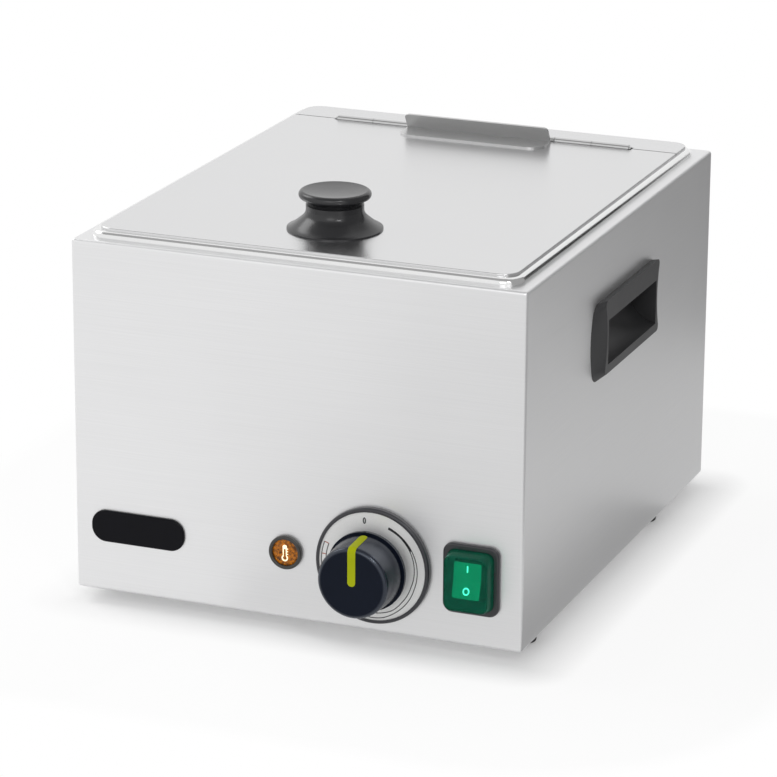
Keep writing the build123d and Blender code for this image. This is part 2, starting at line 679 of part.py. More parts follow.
def handle(side):
    """Side handle: bevelled frame, scooped pocket and the lugs that clip it in."""
    wall = WIDTH / 2
    middle = y(HANDLE_Y)
    base = handle_outline(wall, HANDLE_HALF, HANDLE_LOW, HANDLE_TOP, HANDLE_BOW, HANDLE_CORNER)
    face = handle_outline(wall + HANDLE_REACH, HANDLE_FACE_HALF, HANDLE_FACE_LOW, HANDLE_FACE_TOP,
                          HANDLE_FACE_BOW, HANDLE_FACE_CORNER)
    frame = loft([base, face])
    back = wall - POCKET_BACK
    shell = [(wall + 0.5, 131), (wall + 0.5, 171), (back, 171)]
    shell += [(back, 151), (back + 1.5, 146.5), (back + 7.5, 138.5)]
    reach = POCKET_HALF + POCKET_WALL
    body = prism_y([(x, z(h)) for x, h in shell], middle - reach, middle + reach)
    near = middle - POCKET_HALF
    scoop = ThreePointArc((wall + 5, near, z(136)), (wall - 7, near, z(142.6)), (back + 2, near, z(157)))
    lip = [(back + 2, 157), (back + 2, 168), (wall - 2, 168), (wall + 0.5, 165.5), (wall + 2, 163.2)]
    lip += [(wall + 7, 163.2), (wall + 7, 136), (wall + 5, 136)]
    edges = Polyline(*[(x, near, z(h)) for x, h in lip]).edges()
    pocket = extrude(make_face([scoop, *edges]), 2 * POCKET_HALF, dir=(0, 1, 0))
    lugs = block(wall - 3.5, wall - SHEET - 0.1, middle - reach - 2.5, middle + reach + 2.5, z(145), z(157))
    whole = frame + body + lugs - pocket
    if side < 0:
        whole = mirror(whole, about=Plane.YZ)
    return whole


def gland_body():
    """Gland through the rear panel: hexagon outside, thread inside."""
    hexagon = extrude(RegularPolygon(GLAND_NUT_AF / 2, 6, major_radius=False), 5)
    inner = Pos(0, 0, -4) * Cylinder(GLAND_THREAD_R - 0.05, 10)
    outer = Pos(0, 0, 9) * Cylinder(GLAND_THREAD_R - 0.5, 8)
    body = hexagon + inner + outer - Cylinder(GLAND_BORE_R, 60)
    return Pos(GLAND_X, y(DEPTH + SHEET), z(GLAND_Z)) * Rot(-90, 0, 0) * body


def gland_cap():
    """Domed cap nut of the cable gland."""
    points = [(GLAND_THREAD_R - 0.5, 5), (GLAND_CAP_R, 5), (GLAND_CAP_R, 13), (6.5, GLAND_REACH)]
    points += [(GLAND_BORE_R, GLAND_REACH), (GLAND_BORE_R, 13), (GLAND_THREAD_R - 0.5, 13)]
    return Pos(GLAND_X, y(DEPTH + SHEET), z(GLAND_Z)) * Rot(-90, 0, 0) * turned(points)


def gland_nut():
    """Locknut of the gland inside the rear panel."""
    nut = hex_nut(GLAND_NUT_AF, 4, GLAND_THREAD_R - 0.05)
    return Pos(GLAND_X, y(DEPTH - 4), z(GLAND_Z)) * Rot(-90, 0, 0) * nut


def terminal_block():
    """Three-pole block on the bottom plate, with an entry at each end of a pole."""
    half_x, half_y = BLOCK_SIZE[0] / 2, BLOCK_SIZE[1] / 2
    y0, y1 = BLOCK_Y - half_y, BLOCK_Y + half_y
    low, high = 2 * SHEET, 2 * SHEET + BLOCK_SIZE[2]
    body = block(BLOCK_X - half_x, BLOCK_X + half_x, y(y0), y(y1), z(low), z(high))
    for pole in BLOCK_POLES:
        body -= along(BLOCK_X + pole, BLOCK_ENTRY, y0, y0 + 5, WIRE_R + 0.5)
        body -= along(BLOCK_X + pole, BLOCK_ENTRY, y1 - 5, y1, WIRE_R + 0.5)
        for end in BLOCK_ENDS:
            body -= upright(BLOCK_X + pole, BLOCK_Y + end, high - 4, high + 1, BLOCK_SCREW_R)
    return body


def terminal_block_screws():
    """Clamp screws of the three poles."""
    piece = Pos(0, 0, 1) * Cylinder(BLOCK_SCREW_R, 2) - Pos(0, 0, 2) * Box(5, 0.7, 1.2)
    places = [(BLOCK_X + pole, BLOCK_Y + end) for pole in BLOCK_POLES for end in BLOCK_ENDS]
    seat = 2 * SHEET + BLOCK_SIZE[2] - 4
    return group(Pos(x, y(depth), z(seat)) * piece for x, depth in places)


def earth_stud():
    """Earth stud in the bottom plate."""
    return upright(STUD_X, STUD_Y, SHEET, 17, STUD_R)


def earth_nuts():
    """Nut and washer that hold the earth lead on its stud."""
    washer = Pos(0, 0, 0.5) * Cylinder(2 * STUD_R, 1) - Cylinder(STUD_R, 9)
    nut = Pos(0, 0, 3) * hex_nut(8, 4, STUD_R)
    return group(Pos(STUD_X, y(STUD_Y), z(2 * SHEET)) * piece for piece in (washer, nut))


def wire(route, bend=9.0, radius=WIRE_R):
    """Insulated wire along straight runs joined by arcs; route points are (x, depth, height)."""
    path = FilletPolyline(*[(x, y(depth), z(height)) for x, depth, height in route], radius=bend)
    return sweep(Plane(origin=path @ 0, z_dir=path % 0) * Circle(radius), path=path)


def live_wires():
    """Block to switch, switch to thermostat, thermostat to cut-out, cut-out to heater."""
    left, top, low = SWITCH_X - 6, CONTROL_Z + 8, CONTROL_Z - 8
    back, blade_z = THERMOSTAT[2], WELL_FLOOR - CUTOUT_BLADE
    feed = [(BLOCK_X - 10, 295, BLOCK_ENTRY), (BLOCK_X - 10, 262, BLOCK_ENTRY), (-88, 235, 5)]
    feed += [(-88, 90, 5), (-60, 62, 5), (left - 15, 62, 5), (left, 62, 20), (left, 58, low)]
    feed += [(left, back, low)]
    switched = [(left, back, top), (left, 56, top), (78, 60, top), (57, 56, top), (57, back, top)]
    to_cutout = [(36, back, top), (36, 58, top), (10, 90, 60), (-20, 140, 70)]
    to_cutout += [(-32, 158, blade_z), (-43, 158, blade_z)]
    to_heater = [(-77, 158, blade_z), (-88, 158, blade_z), (-95, 140, 76), (-92, 75, 70)]
    to_heater += [(-60, 50, 50), (-LEG_X, LEG_Y, 38), (-LEG_X, LEG_Y, PIN_END_Z)]
    return group(wire(route) for route in (feed, switched, to_cutout, to_heater))


def neutral_wires():
    """Block to switch and switch to heater."""
    right, top, low = SWITCH_X + 6, CONTROL_Z + 8, CONTROL_Z - 8
    back = THERMOSTAT[2]
    feed = [(BLOCK_X, 295, BLOCK_ENTRY), (BLOCK_X, 268, BLOCK_ENTRY), (-40, 245, 5), (-40, 90, 5)]
    feed += [(-20, 72, 5), (right - 15, 72, 5), (right, 72, 20), (right, 64, low), (right, back, low)]
    out = [(right, back, top), (right, 60, top), (98, 70, 40), (50, 66, 30), (26, 52, 30)]
    out += [(LEG_X, LEG_Y, 40), (LEG_X, LEG_Y, PIN_END_Z)]
    return group(wire(route) for route in (feed, out))


def earth_wire():
    """Block to earth stud."""
    start = [(BLOCK_X + 10, 295, BLOCK_ENTRY), (BLOCK_X + 10, 270, BLOCK_ENTRY)]
    return wire(start + [(-20, 250, 6), (STUD_X - 2 * STUD_R, STUD_Y, 4.3)])


def pan_wall(grow, top, floor, floor_r):
    """Tapered, round-cornered solid of the pan's bowl, grown by a wall's thickness."""
    middle = y(PAN_MID)
    size_x, size_y = PAN_MOUTH_X + 2 * grow, PAN_MOUTH_Y + 2 * grow
    mouth = Pos(0, middle, z(top)) * RectangleRounded(size_x, size_y, PAN_MOUTH_R + grow)
    narrow = 2 * PAN_TAPER
    outline = RectangleRounded(size_x - narrow, size_y - narrow, PAN_MOUTH_R - 3 + grow)
    bowl = loft([mouth, Pos(0, middle, z(floor)) * outline])
    return fillet(bowl.faces().sort_by(Axis.Z)[0].edges(), floor_r)


def pan():
    """GN 1/2 pan with a rolled flange that rests on the deck."""
    top = HEIGHT + FLANGE_HEIGHT
    floor = top - PAN_DEPTH
    y0, y1 = y(PAN_FRONT), y(PAN_FRONT + PAN_FLANGE_Y)
    half = PAN_FLANGE_X / 2
    rim = slab(half, y0, y1, z(HEIGHT), z(top), FLANGE_CORNER)
    rim = fillet(rim.faces().sort_by(Axis.Z)[-1].edges(), FLANGE_SHOULDER)
    t = PAN_SHEET
    under = slab(half - t, y0 + t, y1 - t, z(HEIGHT - 1), z(top - t), FLANGE_CORNER - t)
    under = fillet(under.faces().sort_by(Axis.Z)[-1].edges(), FLANGE_SHOULDER - t)
    keep_x, keep_y = PAN_MOUTH_X / 2 + FLANGE_INNER, PAN_MOUTH_Y / 2 + FLANGE_INNER
    corner = PAN_MOUTH_R + FLANGE_INNER
    under -= slab(keep_x, y(PAN_MID - keep_y), y(PAN_MID + keep_y), z(HEIGHT - 2), z(top), corner)
    bowl = pan_wall(PAN_SHEET, top - 0.5, floor, PAN_FLOOR_R + PAN_SHEET)
    inside = pan_wall(0, top, floor + PAN_SHEET, PAN_FLOOR_R)
    whole = rim + bowl - under - inside
    lip = whole.faces().filter_by(Axis.Z).sort_by(Axis.Z)[-1].inner_wires()[0].edges()
    return fillet(lip, MOUTH_LIP)


def false_bottom():
    """Perforated tray, open downward, that keeps the food off the pan's floor."""
    floor = HEIGHT + FLANGE_HEIGHT - PAN_DEPTH + PAN_SHEET
    half_x, half_y = FALSE_X / 2, FALSE_Y / 2
    y0, y1 = y(PAN_MID - half_y), y(PAN_MID + half_y)
    tray = slab(half_x, y0, y1, z(floor), z(floor + FALSE_HEIGHT), FALSE_CORNER)
    tray = fillet(tray.faces().sort_by(Axis.Z)[-1].edges(), FALSE_EDGE_R)
    t = FALSE_SHEET
    tray -= slab(half_x - t, y0 + t, y1 - t, z(floor - 1), z(floor + FALSE_HEIGHT - t), FALSE_CORNER - t)
    hole = Cylinder(FALSE_HOLE_R, 8)
    top = z(floor + FALSE_HEIGHT)
    columns, rows = FALSE_ROWS
    across = [FALSE_PITCH * (i - (columns - 1) / 2) for i in range(columns)]
    depths = [PAN_MID + FALSE_PITCH * (i - (rows - 1) / 2) for i in range(rows)]
    return tray - [Pos(x, y(depth), top) * hole for x in across for depth in depths]


def lid_sheet():
    """Both lids as one hemmed sheet, before the seam."""
    y0, y1 = y(LID_FRONT), y(LID_BACK)
    sheet = slab(LID_HALF, y0, y1, z(LID_BOTTOM), z(LID_TOP), LID_CORNER)
    sheet = fillet(sheet.faces().sort_by(Axis.Z)[-1].edges(), LID_EDGE)
    low, high = z(LID_BOTTOM - 1), z(LID_TOP - LID_SHEET)
    recess = slab(LID_HALF - HEM, y0 + HEM, y1 - HEM, low, high, LID_CORNER - HEM)
    notch_y = KNUCKLE_R + KNUCKLE_CLEARANCE
    reach = HINGE_HALF + PIN_END + 0.6
    notch = block(-reach, reach, y(HINGE_AT - notch_y), y(HINGE_AT + notch_y), z(LID_BOTTOM), z(LID_TOP + 1))
    return sheet - recess - notch


def lid_front():
    """Front lid, from the front edge to the seam, with the knob's screw hole."""
    low, high = LID_BOTTOM - THROUGH, LID_TOP + THROUGH
    keep = block(-WIDTH, WIDTH, y(0), y(HINGE_AT - SEAM / 2), z(low), z(high))
    return (lid_sheet() & keep) - upright(0, LID_KNOB_Y, low, high, LID_SCREW_R + 0.1)


def lid_rear_strip():
    """Rear strip of the lid, behind the seam."""
    low, high = LID_BOTTOM - THROUGH, LID_TOP + THROUGH
    return lid_sheet() & block(-WIDTH, WIDTH, y(HINGE_AT + SEAM / 2), y(DEPTH), z(low), z(high))


def on_hinge(x0, x1, radius):
    """Bar or hole along the hinge's axis."""
    axis = y(HINGE_AT), z(HINGE_HEIGHT)
    return rod((x0, *axis), (x1, *axis), radius)


def hinge_leaf(toward, first):
    """Leaf under a lid, with every second knuckle; toward is -1 in front and 1 behind."""
    low = z(LID_TOP - LID_SHEET - LEAF)
    edge = HINGE_AT + toward * LEAF_REACH
    d0, d1 = sorted((edge, HINGE_AT))
    leaf = block(-HINGE_HALF, HINGE_HALF, y(d0), y(d1), low, low + LEAF)
    clear = KNUCKLE_R + KNUCKLE_CLEARANCE
    gap = KNUCKLE_GAP / 2
    for index in range(KNUCKLES):
        x0 = -HINGE_HALF + index * KNUCKLE_PITCH
        x1 = x0 + KNUCKLE_PITCH
        if index % 2 == first:
            leaf += on_hinge(x0 + gap, x1 - gap, KNUCKLE_R)
        else:
            y0, y1 = y(HINGE_AT - clear), y(HINGE_AT + clear)
            leaf -= block(x0 - gap, x1 + gap, y0, y1, low - LEAF, low + 2 * LEAF)
    pin_r = PIN_R + (PIN_CLEARANCE if toward < 0 else 0)
    return leaf - on_hinge(-HINGE_HALF - 5, HINGE_HALF + 5, pin_r)


def hinge_pin():
    """Pin through all the knuckles, proud at both ends."""
    reach = HINGE_HALF + PIN_END
    return on_hinge(-reach, reach, PIN_R)


def lid_stop_bracket():
    """Acute angle of sheet on the front lid; its leg meets the rear strip when the lid is open."""
    crease = y(HINGE_AT - STOP_CREASE)
    top = z(LID_TOP)
    base = block(-STOP_HALF, STOP_HALF, crease - STOP_BASE, crease, top, top + SHEET)
    base = fillet(base.edges().filter_by(Axis.Z).group_by(Axis.Y)[0], STOP_CORNER)
    leg = block(-STOP_HALF, STOP_HALF, crease - SHEET, crease, top, top + STOP_LEG)
    leg = fillet(leg.edges().filter_by(Axis.Y).group_by(Axis.Z)[-1], STOP_TIP_CORNER)
    turn = Pos(0, crease, top) * Rot(STOP_LEAN, 0, 0) * Pos(0, -crease, -top)
    whole = base + turn * leg
    return whole & block(-WIDTH, WIDTH, crease - DEPTH, crease + 1, top, top + HEIGHT)


def lid_knob():
    """Flared lid knob, built from its outline of lines and arcs."""
    top = LID_KNOB_H
    flare_points = [(SKIRT_R, 0, 0.8), (20.6, 0, 5.9), (NECK_R, 0, 11.6)]
    flare = Spline(*flare_points, tangents=[(-1, 0, 0.42), (-0.08, 0, 1)])
    neck_top = (NECK_R, 0, 14.6)
    cap_low = (CAP_R - 0.9, 0, 18.6)
    under = ThreePointArc((16.0, 0, 15.0), (17.9, 0, 17.2), cap_low)
    rim = ThreePointArc(cap_low, (CAP_R, 0, 20.4), (CAP_R - 2.4, 0, top))
    dish_points = [(CAP_R - 2.4, 0, top), (9.5, 0, top - 0.7), (0, 0, top - 0.95)]
    dish = Spline(*dish_points, tangents=[(-1, 0, -0.12), (-1, 0, 0)])
    lines = [Line((0, 0, 0), (SKIRT_R, 0, 0)), Line((SKIRT_R, 0, 0), (SKIRT_R, 0, 0.8)), flare]
    lines += [Line((NECK_R, 0, 11.6), neck_top), Line(neck_top, (16.0, 0, 15.0)), under, rim, dish]
    lines += [Line((0, 0, top - 0.95), (0, 0, 0))]
    form = revolve(make_face(Wire(lines)), axis=Axis.Z)
    return Pos(0, y(LID_KNOB_Y), z(LID_TOP)) * (form - Cylinder(LID_SCREW_R, 24))


def lid_knob_washer():
    """Washer under the lid."""
    low = z(LID_TOP - LID_SHEET - 1)
    washer = Cylinder(6, 1) - Cylinder(LID_SCREW_R, 3)
    return Pos(0, y(LID_KNOB_Y), low + 0.5) * washer


def lid_knob_screw():
    """Screw up through the washer and the lid into the knob."""
    piece = screw(4.5, 2.8, LID_SCREW_R, LID_SHEET + 1 + 11)
    return Pos(0, y(LID_KNOB_Y), z(LID_TOP - LID_SHEET - 1)) * Rot(180, 0, 0) * piece


def nodes():
    """Every node's name and its solid or group."""
    feet = {}
    for (x, depth), name in zip(FOOT_POINTS, ("front_left", "front_right", "rear_left", "rear_right")):
        feet["foot_" + name] = foot(x, depth)
    pieces = (
        housing_shell, rear_panel, rear_panel_screws, bottom_plate, bottom_plate_screws, foot_screws, foot_nuts,
        heat_well, heating_element, element_nuts, element_terminals, element_supports, bulb_clips, thermostat_bulb,
        thermostat_body, thermostat_shaft, thermostat_screws, safety_cutout, badge_plate, lamp_bezel, lamp_lens,
        lamp_body, lamp_nut, dial_ring, dial_plate, control_knob, knob_pointer, switch_frame, switch_boot,
        switch_terminals, rocker, gland_body, gland_cap, gland_nut, terminal_block, terminal_block_screws,
        earth_stud, earth_nuts, live_wires, neutral_wires, earth_wire, pan, false_bottom, lid_front,
        lid_rear_strip, hinge_pin, lid_stop_bracket, lid_knob, lid_knob_washer, lid_knob_screw,
    )
    made = {piece.__name__: piece() for piece in pieces}
    made["handle_right"] = handle(1)
    made["handle_left"] = handle(-1)
    made["hinge_leaf_front"] = hinge_leaf(-1, 0)
    made["hinge_leaf_rear"] = hinge_leaf(1, 1)
    return {**made, **feet}


for node, shape in nodes().items():
    export_step(shape, f"parts/{node}.step")
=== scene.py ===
import math

import bmesh
import bpy
from bpy.props import FloatProperty, FloatVectorProperty, PointerProperty
from mathutils import Euler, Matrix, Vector


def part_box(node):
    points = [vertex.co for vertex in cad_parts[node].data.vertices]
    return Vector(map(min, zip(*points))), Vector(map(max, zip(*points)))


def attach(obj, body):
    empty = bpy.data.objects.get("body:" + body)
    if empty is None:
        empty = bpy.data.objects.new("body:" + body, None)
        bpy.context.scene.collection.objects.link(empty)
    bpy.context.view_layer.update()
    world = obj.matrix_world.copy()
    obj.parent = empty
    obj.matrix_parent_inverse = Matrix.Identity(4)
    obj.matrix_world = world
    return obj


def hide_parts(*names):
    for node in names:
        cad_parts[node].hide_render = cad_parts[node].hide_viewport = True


bl_info = {
    "name": "Sausage warmer",
    "version": (1, 0, 0),
    "blender": (4, 5, 0),
    "location": "View3D > Sidebar > Warmer",
    "description": "Dresses the packed sausage warmer and sets it in a plain studio",
    "category": "Object",
}

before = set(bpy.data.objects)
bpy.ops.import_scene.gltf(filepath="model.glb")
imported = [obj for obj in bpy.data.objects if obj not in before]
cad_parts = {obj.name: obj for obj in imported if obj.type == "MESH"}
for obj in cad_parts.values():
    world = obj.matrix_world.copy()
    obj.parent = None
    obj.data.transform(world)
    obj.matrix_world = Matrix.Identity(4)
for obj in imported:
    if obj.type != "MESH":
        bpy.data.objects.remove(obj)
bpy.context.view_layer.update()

MM = 0.001
TURN = 2 * math.pi

# Brushed steel: how often its grain changes along and across the lines, per metre
GRAIN_LONG, GRAIN_FINE = 14, 5200

# Studio, in metres. The table is a disc of rings.
TABLE_RINGS = (0.3, 0.7, 1.5, 3.0)
TABLE_SIDES = 64
CARD_FOOT, CARD_TOP, CARD_ABOVE, MAT_HEIGHT = 0.005, 1.2, 1.25, 0.002

# White share of the table at the housing's foot and beyond it, and how far each change reaches
FOOT_WHITE, NEAR_WHITE = 0.22, 0.88
NEAR_REACH, FAR_REACH = 0.032, 0.16
LAMP_TARGET = (0, 0, 0.12)


def middle_of(node):
    """Middle of a CAD node's box."""
    low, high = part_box(node)
    return (low + high) / 2


def front_of(node):
    """Middle of the front face of a CAD node's box."""
    middle = middle_of(node)
    return Vector((middle.x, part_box(node)[0].y, middle.z))


# Property groups


class WarmerSizes(bpy.types.PropertyGroup):
    """Sizes of the printed and moulded details."""
    dial_line: FloatProperty(
        name="Dial line", description="Width of the lines printed on the dial",
        default=0.55 * MM, unit="LENGTH", precision=4)
    print_depth: FloatProperty(
        name="Print depth", description="How far printed marks stand on their surface",
        default=0.05 * MM, unit="LENGTH", precision=5)
    mark_stroke: FloatProperty(
        name="Switch mark stroke", description="Stroke of the marks on the rocker",
        default=0.8 * MM, unit="LENGTH", precision=4)
    lens_flutes: bpy.props.IntProperty(
        name="Lens flutes", description="Number of radial flutes in the pilot lamp's lens",
        default=36)


class WarmerColours(bpy.types.PropertyGroup):
    """Colours of the finishes."""
    housing: FloatVectorProperty(
        name="Housing steel", description="Colour of the brushed housing",
        subtype="COLOR", default=(0.79, 0.79, 0.795))
    lid: FloatVectorProperty(
        name="Lid steel", description="Colour of the satin lid",
        subtype="COLOR", default=(0.69, 0.69, 0.695))
    pan: FloatVectorProperty(
        name="Pan steel", description="Colour of the polished pan",
        subtype="COLOR", default=(0.80, 0.80, 0.80))
    bracket: FloatVectorProperty(
        name="Bracket steel", description="Colour of the lid's stop bracket",
        subtype="COLOR", default=(0.62, 0.62, 0.62))
    knob: FloatVectorProperty(
        name="Control knob", description="Colour of the thermostat knob",
        subtype="COLOR", default=(0.003, 0.005, 0.012))
    pointer: FloatVectorProperty(
        name="Pointer", description="Colour of the knob's pointer",
        subtype="COLOR", default=(0.38, 0.42, 0.001))
    amber: FloatVectorProperty(
        name="Lamp amber", description="Colour of the pilot lamp's lens",
        subtype="COLOR", default=(0.34, 0.105, 0.002))
    green: FloatVectorProperty(
        name="Rocker green", description="Colour of the lit rocker",
        subtype="COLOR", default=(0.001, 0.225, 0.145))


class WarmerStudio(bpy.types.PropertyGroup):
    """Camera and light of the studio."""
    azimuth: FloatProperty(
        name="Azimuth", description="Turn of the camera about the object",
        subtype="ANGLE", default=math.radians(21.739))
    elevation: FloatProperty(
        name="Elevation", description="Tilt of the camera above the horizon",
        subtype="ANGLE", default=math.radians(17.998))
    roll: FloatProperty(
        name="Roll", description="Turn of the camera about its own axis",
        subtype="ANGLE", default=math.radians(0.351))
    camera_place: FloatVectorProperty(
        name="Camera place", description="Where the camera stands",
        subtype="TRANSLATION", default=(0.8257, -2.08925, 0.8297))
    focal_length: FloatProperty(
        name="Focal length", description="Lens of the camera in millimetres", default=179.3)
    key_energy: FloatProperty(
        name="Key light", description="Power of the main soft light in watts", default=12.0)
    fill_level: FloatProperty(
        name="Fill level", description="Brightness of the studio around the object", default=0.62)


def sizes():
    return bpy.context.scene.warmer_sizes


def colours():
    return bpy.context.scene.warmer_colours


def studio():
    return bpy.context.scene.warmer_studio


# Materials. A noise's scale is about how many of its features there are in a metre.


class Recipe:
    """One material's node tree, with the steps that this object's finishes share."""

    def __init__(self, name, colour, roughness, metallic=0.0, **sockets):
        self.material = bpy.data.materials.new(name)
        self.material.use_nodes = True
        self.tree = self.material.node_tree
        self.shader = self.tree.nodes["Principled BSDF"]
        self.colour = (*colour[:3], 1.0)
        self.roughness = roughness
        self.shader.inputs["Base Color"].default_value = self.colour
        self.shader.inputs["Roughness"].default_value = roughness
        self.shader.inputs["Metallic"].default_value = metallic
        for socket, value in sockets.items():
            self.shader.inputs[socket.replace("_", " ")].default_value = value

    def node(self, kind, **settings):
        made = self.tree.nodes.new(kind)
        for key, value in settings.items():
            setattr(made, key, value)
        return made

    def link(self, start, end):
        self.tree.links.new(start, end)

    def feed(self, value, socket):
        """Gives a socket a constant or a link."""
        if isinstance(value, bpy.types.NodeSocket):
            self.link(value, socket)
        else:
            socket.default_value = value

    def place(self, scale=(1, 1, 1)):
        """The point on the piece, stretched along its axes."""
        coordinates = self.node("ShaderNodeTexCoord")
        mapping = self.node("ShaderNodeMapping")
        mapping.inputs["Scale"].default_value = scale
        self.link(coordinates.outputs["Object"], mapping.inputs["Vector"])
        return mapping.outputs["Vector"]

    def noise(self, place, scale, detail=3.0, roughness=0.55):
        made = self.node("ShaderNodeTexNoise")
        made.inputs["Scale"].default_value = scale
        made.inputs["Detail"].default_value = detail
        made.inputs["Roughness"].default_value = roughness
        self.link(place, made.inputs["Vector"])
        return made.outputs["Fac"]

    def span(self, value, low, high, start=0.0, end=1.0):
        """The value moved from one range to another."""
        made = self.node("ShaderNodeMapRange")
        limits = {"From Min": start, "From Max": end, "To Min": low, "To Max": high}
        for socket, number in limits.items():
            made.inputs[socket].default_value = number
        self.link(value, made.inputs["Value"])
        return made.outputs["Result"]

    def maths(self, operation, first, second):
        made = self.node("ShaderNodeMath", operation=operation)
        for socket, value in zip(made.inputs, (first, second)):
            self.feed(value, socket)
        return made.outputs["Value"]

    def vector(self, operation, value, operand=None):
        """A step of vector arithmetic."""
        made = self.node("ShaderNodeVectorMath", operation=operation)
        self.link(value, made.inputs[0])
        if operand is not None:
            made.inputs[1].default_value = operand
        return made.outputs["Value" if operation == "LENGTH" else "Vector"]

    def mix(self, factor, first, second, kind="RGBA"):
        """The first colour or number, which turns into the second with the factor."""
        made = self.node("ShaderNodeMix", data_type=kind)
        for name, value in (("Factor", factor), ("A", first), ("B", second)):
            self.feed(value, made.inputs[name])
        return made.outputs["Result"]

    def facing(self, axis):
        """How far the surface faces along one of the world's axes."""
        geometry = self.node("ShaderNodeNewGeometry")
        parts = self.node("ShaderNodeSeparateXYZ")
        self.link(geometry.outputs["Normal"], parts.inputs["Vector"])
        return parts.outputs[axis]

    def tint(self, value, low, high):
        """The colour, darker or lighter by the value."""
        ramp = self.node("ShaderNodeValToRGB")
        for element, factor in zip(ramp.color_ramp.elements, (low, high)):
            element.color = (*[min(1.0, c * factor) for c in self.colour[:3]], 1.0)
        self.link(value, ramp.inputs["Fac"])
        self.link(ramp.outputs["Color"], self.shader.inputs["Base Color"])

    def blur(self, value, spread):
        """Roughness that varies with the value."""
        varied = self.span(value, max(0.02, self.roughness - spread), self.roughness + spread)
        self.link(varied, self.shader.inputs["Roughness"])

    def bump(self, height, strength, depth):
        made = self.node("ShaderNodeBump")
        made.inputs["Strength"].default_value = strength
        made.inputs["Distance"].default_value = depth
        self.link(height, made.inputs["Height"])
        self.link(made.outputs["Normal"], self.shader.inputs["Normal"])

    def glow(self, strength):
        """Light in the finish's own colour, as strong as a number or a value says."""
        self.shader.inputs["Emission Color"].default_value = self.colour
        self.feed(strength, self.shader.inputs["Emission Strength"])

    def surface(self, output):
        """Puts something other than the plain shader on the surface."""
        self.link(output, self.tree.nodes["Material Output"].inputs["Surface"])


def brushed_steel(name, colour, roughness, grain=1.0, depth=0.004):
    """Sheet steel with a fine grain, level on its walls and sideways on its flats.

    The depth of its grain is in millimetres.
    """
    recipe = Recipe(name, colour, roughness, metallic=1.0)
    walls = recipe.noise(recipe.place((GRAIN_LONG, GRAIN_LONG, GRAIN_FINE)), 1.0, detail=2.0)
    flats = recipe.noise(recipe.place((GRAIN_LONG, GRAIN_FINE, GRAIN_LONG)), 1.0, detail=2.0)
    level = recipe.maths("ABSOLUTE", recipe.facing("Z"), 0.0)
    lines = recipe.mix(level, walls, flats, kind="FLOAT")
    cloud = recipe.noise(recipe.place(), 9.0, detail=2.0)
    shade = recipe.maths("ADD", recipe.span(lines, 0.0, 0.7), recipe.span(cloud, 0.0, 0.3))
    recipe.tint(shade, 1 - 0.10 * grain, 1 + 0.08 * grain)
    recipe.blur(shade, 0.07 * grain)
    recipe.bump(lines, 0.10 * grain, depth * MM)
    return recipe


def drawn_steel(name, colour, roughness, smear=0.05):
    """Pressed or turned steel: even, with faint clouds and tiny pits."""
    recipe = Recipe(name, colour, roughness, metallic=1.0)
    cloud = recipe.noise(recipe.place(), 35.0, detail=4.0)
    pits = recipe.noise(recipe.place(), 1900.0, detail=1.0)
    recipe.tint(cloud, 1 - smear, 1 + smear)
    recipe.blur(cloud, roughness * 0.3)
    recipe.bump(pits, 0.05, 0.01 * MM)
    return recipe


def moulded(name, colour, roughness, grain=900.0, depth=0.02, **sockets):
    """Moulded plastic or rubber with its mould's grain, as deep as said in millimetres."""
    recipe = Recipe(name, colour, roughness, **sockets)
    texture = recipe.noise(recipe.place(), grain, detail=2.0)
    cloud = recipe.noise(recipe.place(), 45.0, detail=3.0)
    recipe.tint(cloud, 0.85, 1.2)
    recipe.blur(cloud, 0.06)
    recipe.bump(texture, 0.25, depth * MM)
    return recipe


def printed(name, colour, glow=0.0):
    """Printed ink, a little uneven, that may glow where a lamp is behind it."""
    recipe = Recipe(name, colour, 0.5)
    speckle = recipe.noise(recipe.place(), 2600.0, detail=2.0)
    recipe.tint(speckle, 0.9, 1.1)
    recipe.bump(speckle, 0.1, 0.01 * MM)
    if glow:
        recipe.glow(glow)
    return recipe


def seen_white(tree):
    """One where the camera looks, straight or by way of gloss and glass, and zero elsewhere."""
    path = tree.nodes.new("ShaderNodeLightPath")
    total = path.outputs["Is Camera Ray"]
    for output in ("Is Glossy Ray", "Is Transmission Ray"):
        both = tree.nodes.new("ShaderNodeMath")
        both.operation = "MAXIMUM"
        tree.links.new(total, both.inputs[0])
        tree.links.new(path.outputs[output], both.inputs[1])
        total = both.outputs["Value"]
    return total


def dress(finish, *names):
    """Puts a finish on CAD nodes."""
    for name in names:
        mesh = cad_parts[name].data
        mesh.materials.clear()
        mesh.materials.append(finish.material)


# Mesh helpers


def mesh_object(name, form, finish):
    """An object in the scene from a bmesh, with its finish."""
    mesh = bpy.data.meshes.new(name)
    form.to_mesh(mesh)
    form.free()
    mesh.materials.append(finish.material)
    made = bpy.data.objects.new(name, mesh)
    bpy.context.scene.collection.objects.link(made)
    return made


def new_piece(name, build, finish, body, smooth=35.0):
    """A mesh object from what build makes in a bmesh, riding on a body."""
    form = bmesh.new()
    build(form)
    bmesh.ops.remove_doubles(form, verts=form.verts, dist=1e-7)
    bmesh.ops.recalc_face_normals(form, faces=form.faces)
    made = mesh_object(name, form, finish)
    made.data.shade_smooth()
    made.data.set_sharp_from_angle(angle=math.radians(smooth))
    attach(made, body)
    return made


def strip(form, inner, outer, low, high, closed=False):
    """Band between two lines of points, given thickness along a direction."""
    def row(points, offset):
        return [form.verts.new(Vector(p) + offset) for p in points]
    rows = [row(inner, low), row(outer, low), row(outer, high), row(inner, high)]
    count = len(inner)
    for i in range(count if closed else count - 1):
        j = (i + 1) % count
        for first, second in zip(rows, rows[1:] + rows[:1]):
            form.faces.new((first[i], second[i], second[j], first[j]))
    if not closed:
        form.faces.new([r[0] for r in rows])
        form.faces.new([r[-1] for r in reversed(rows)])


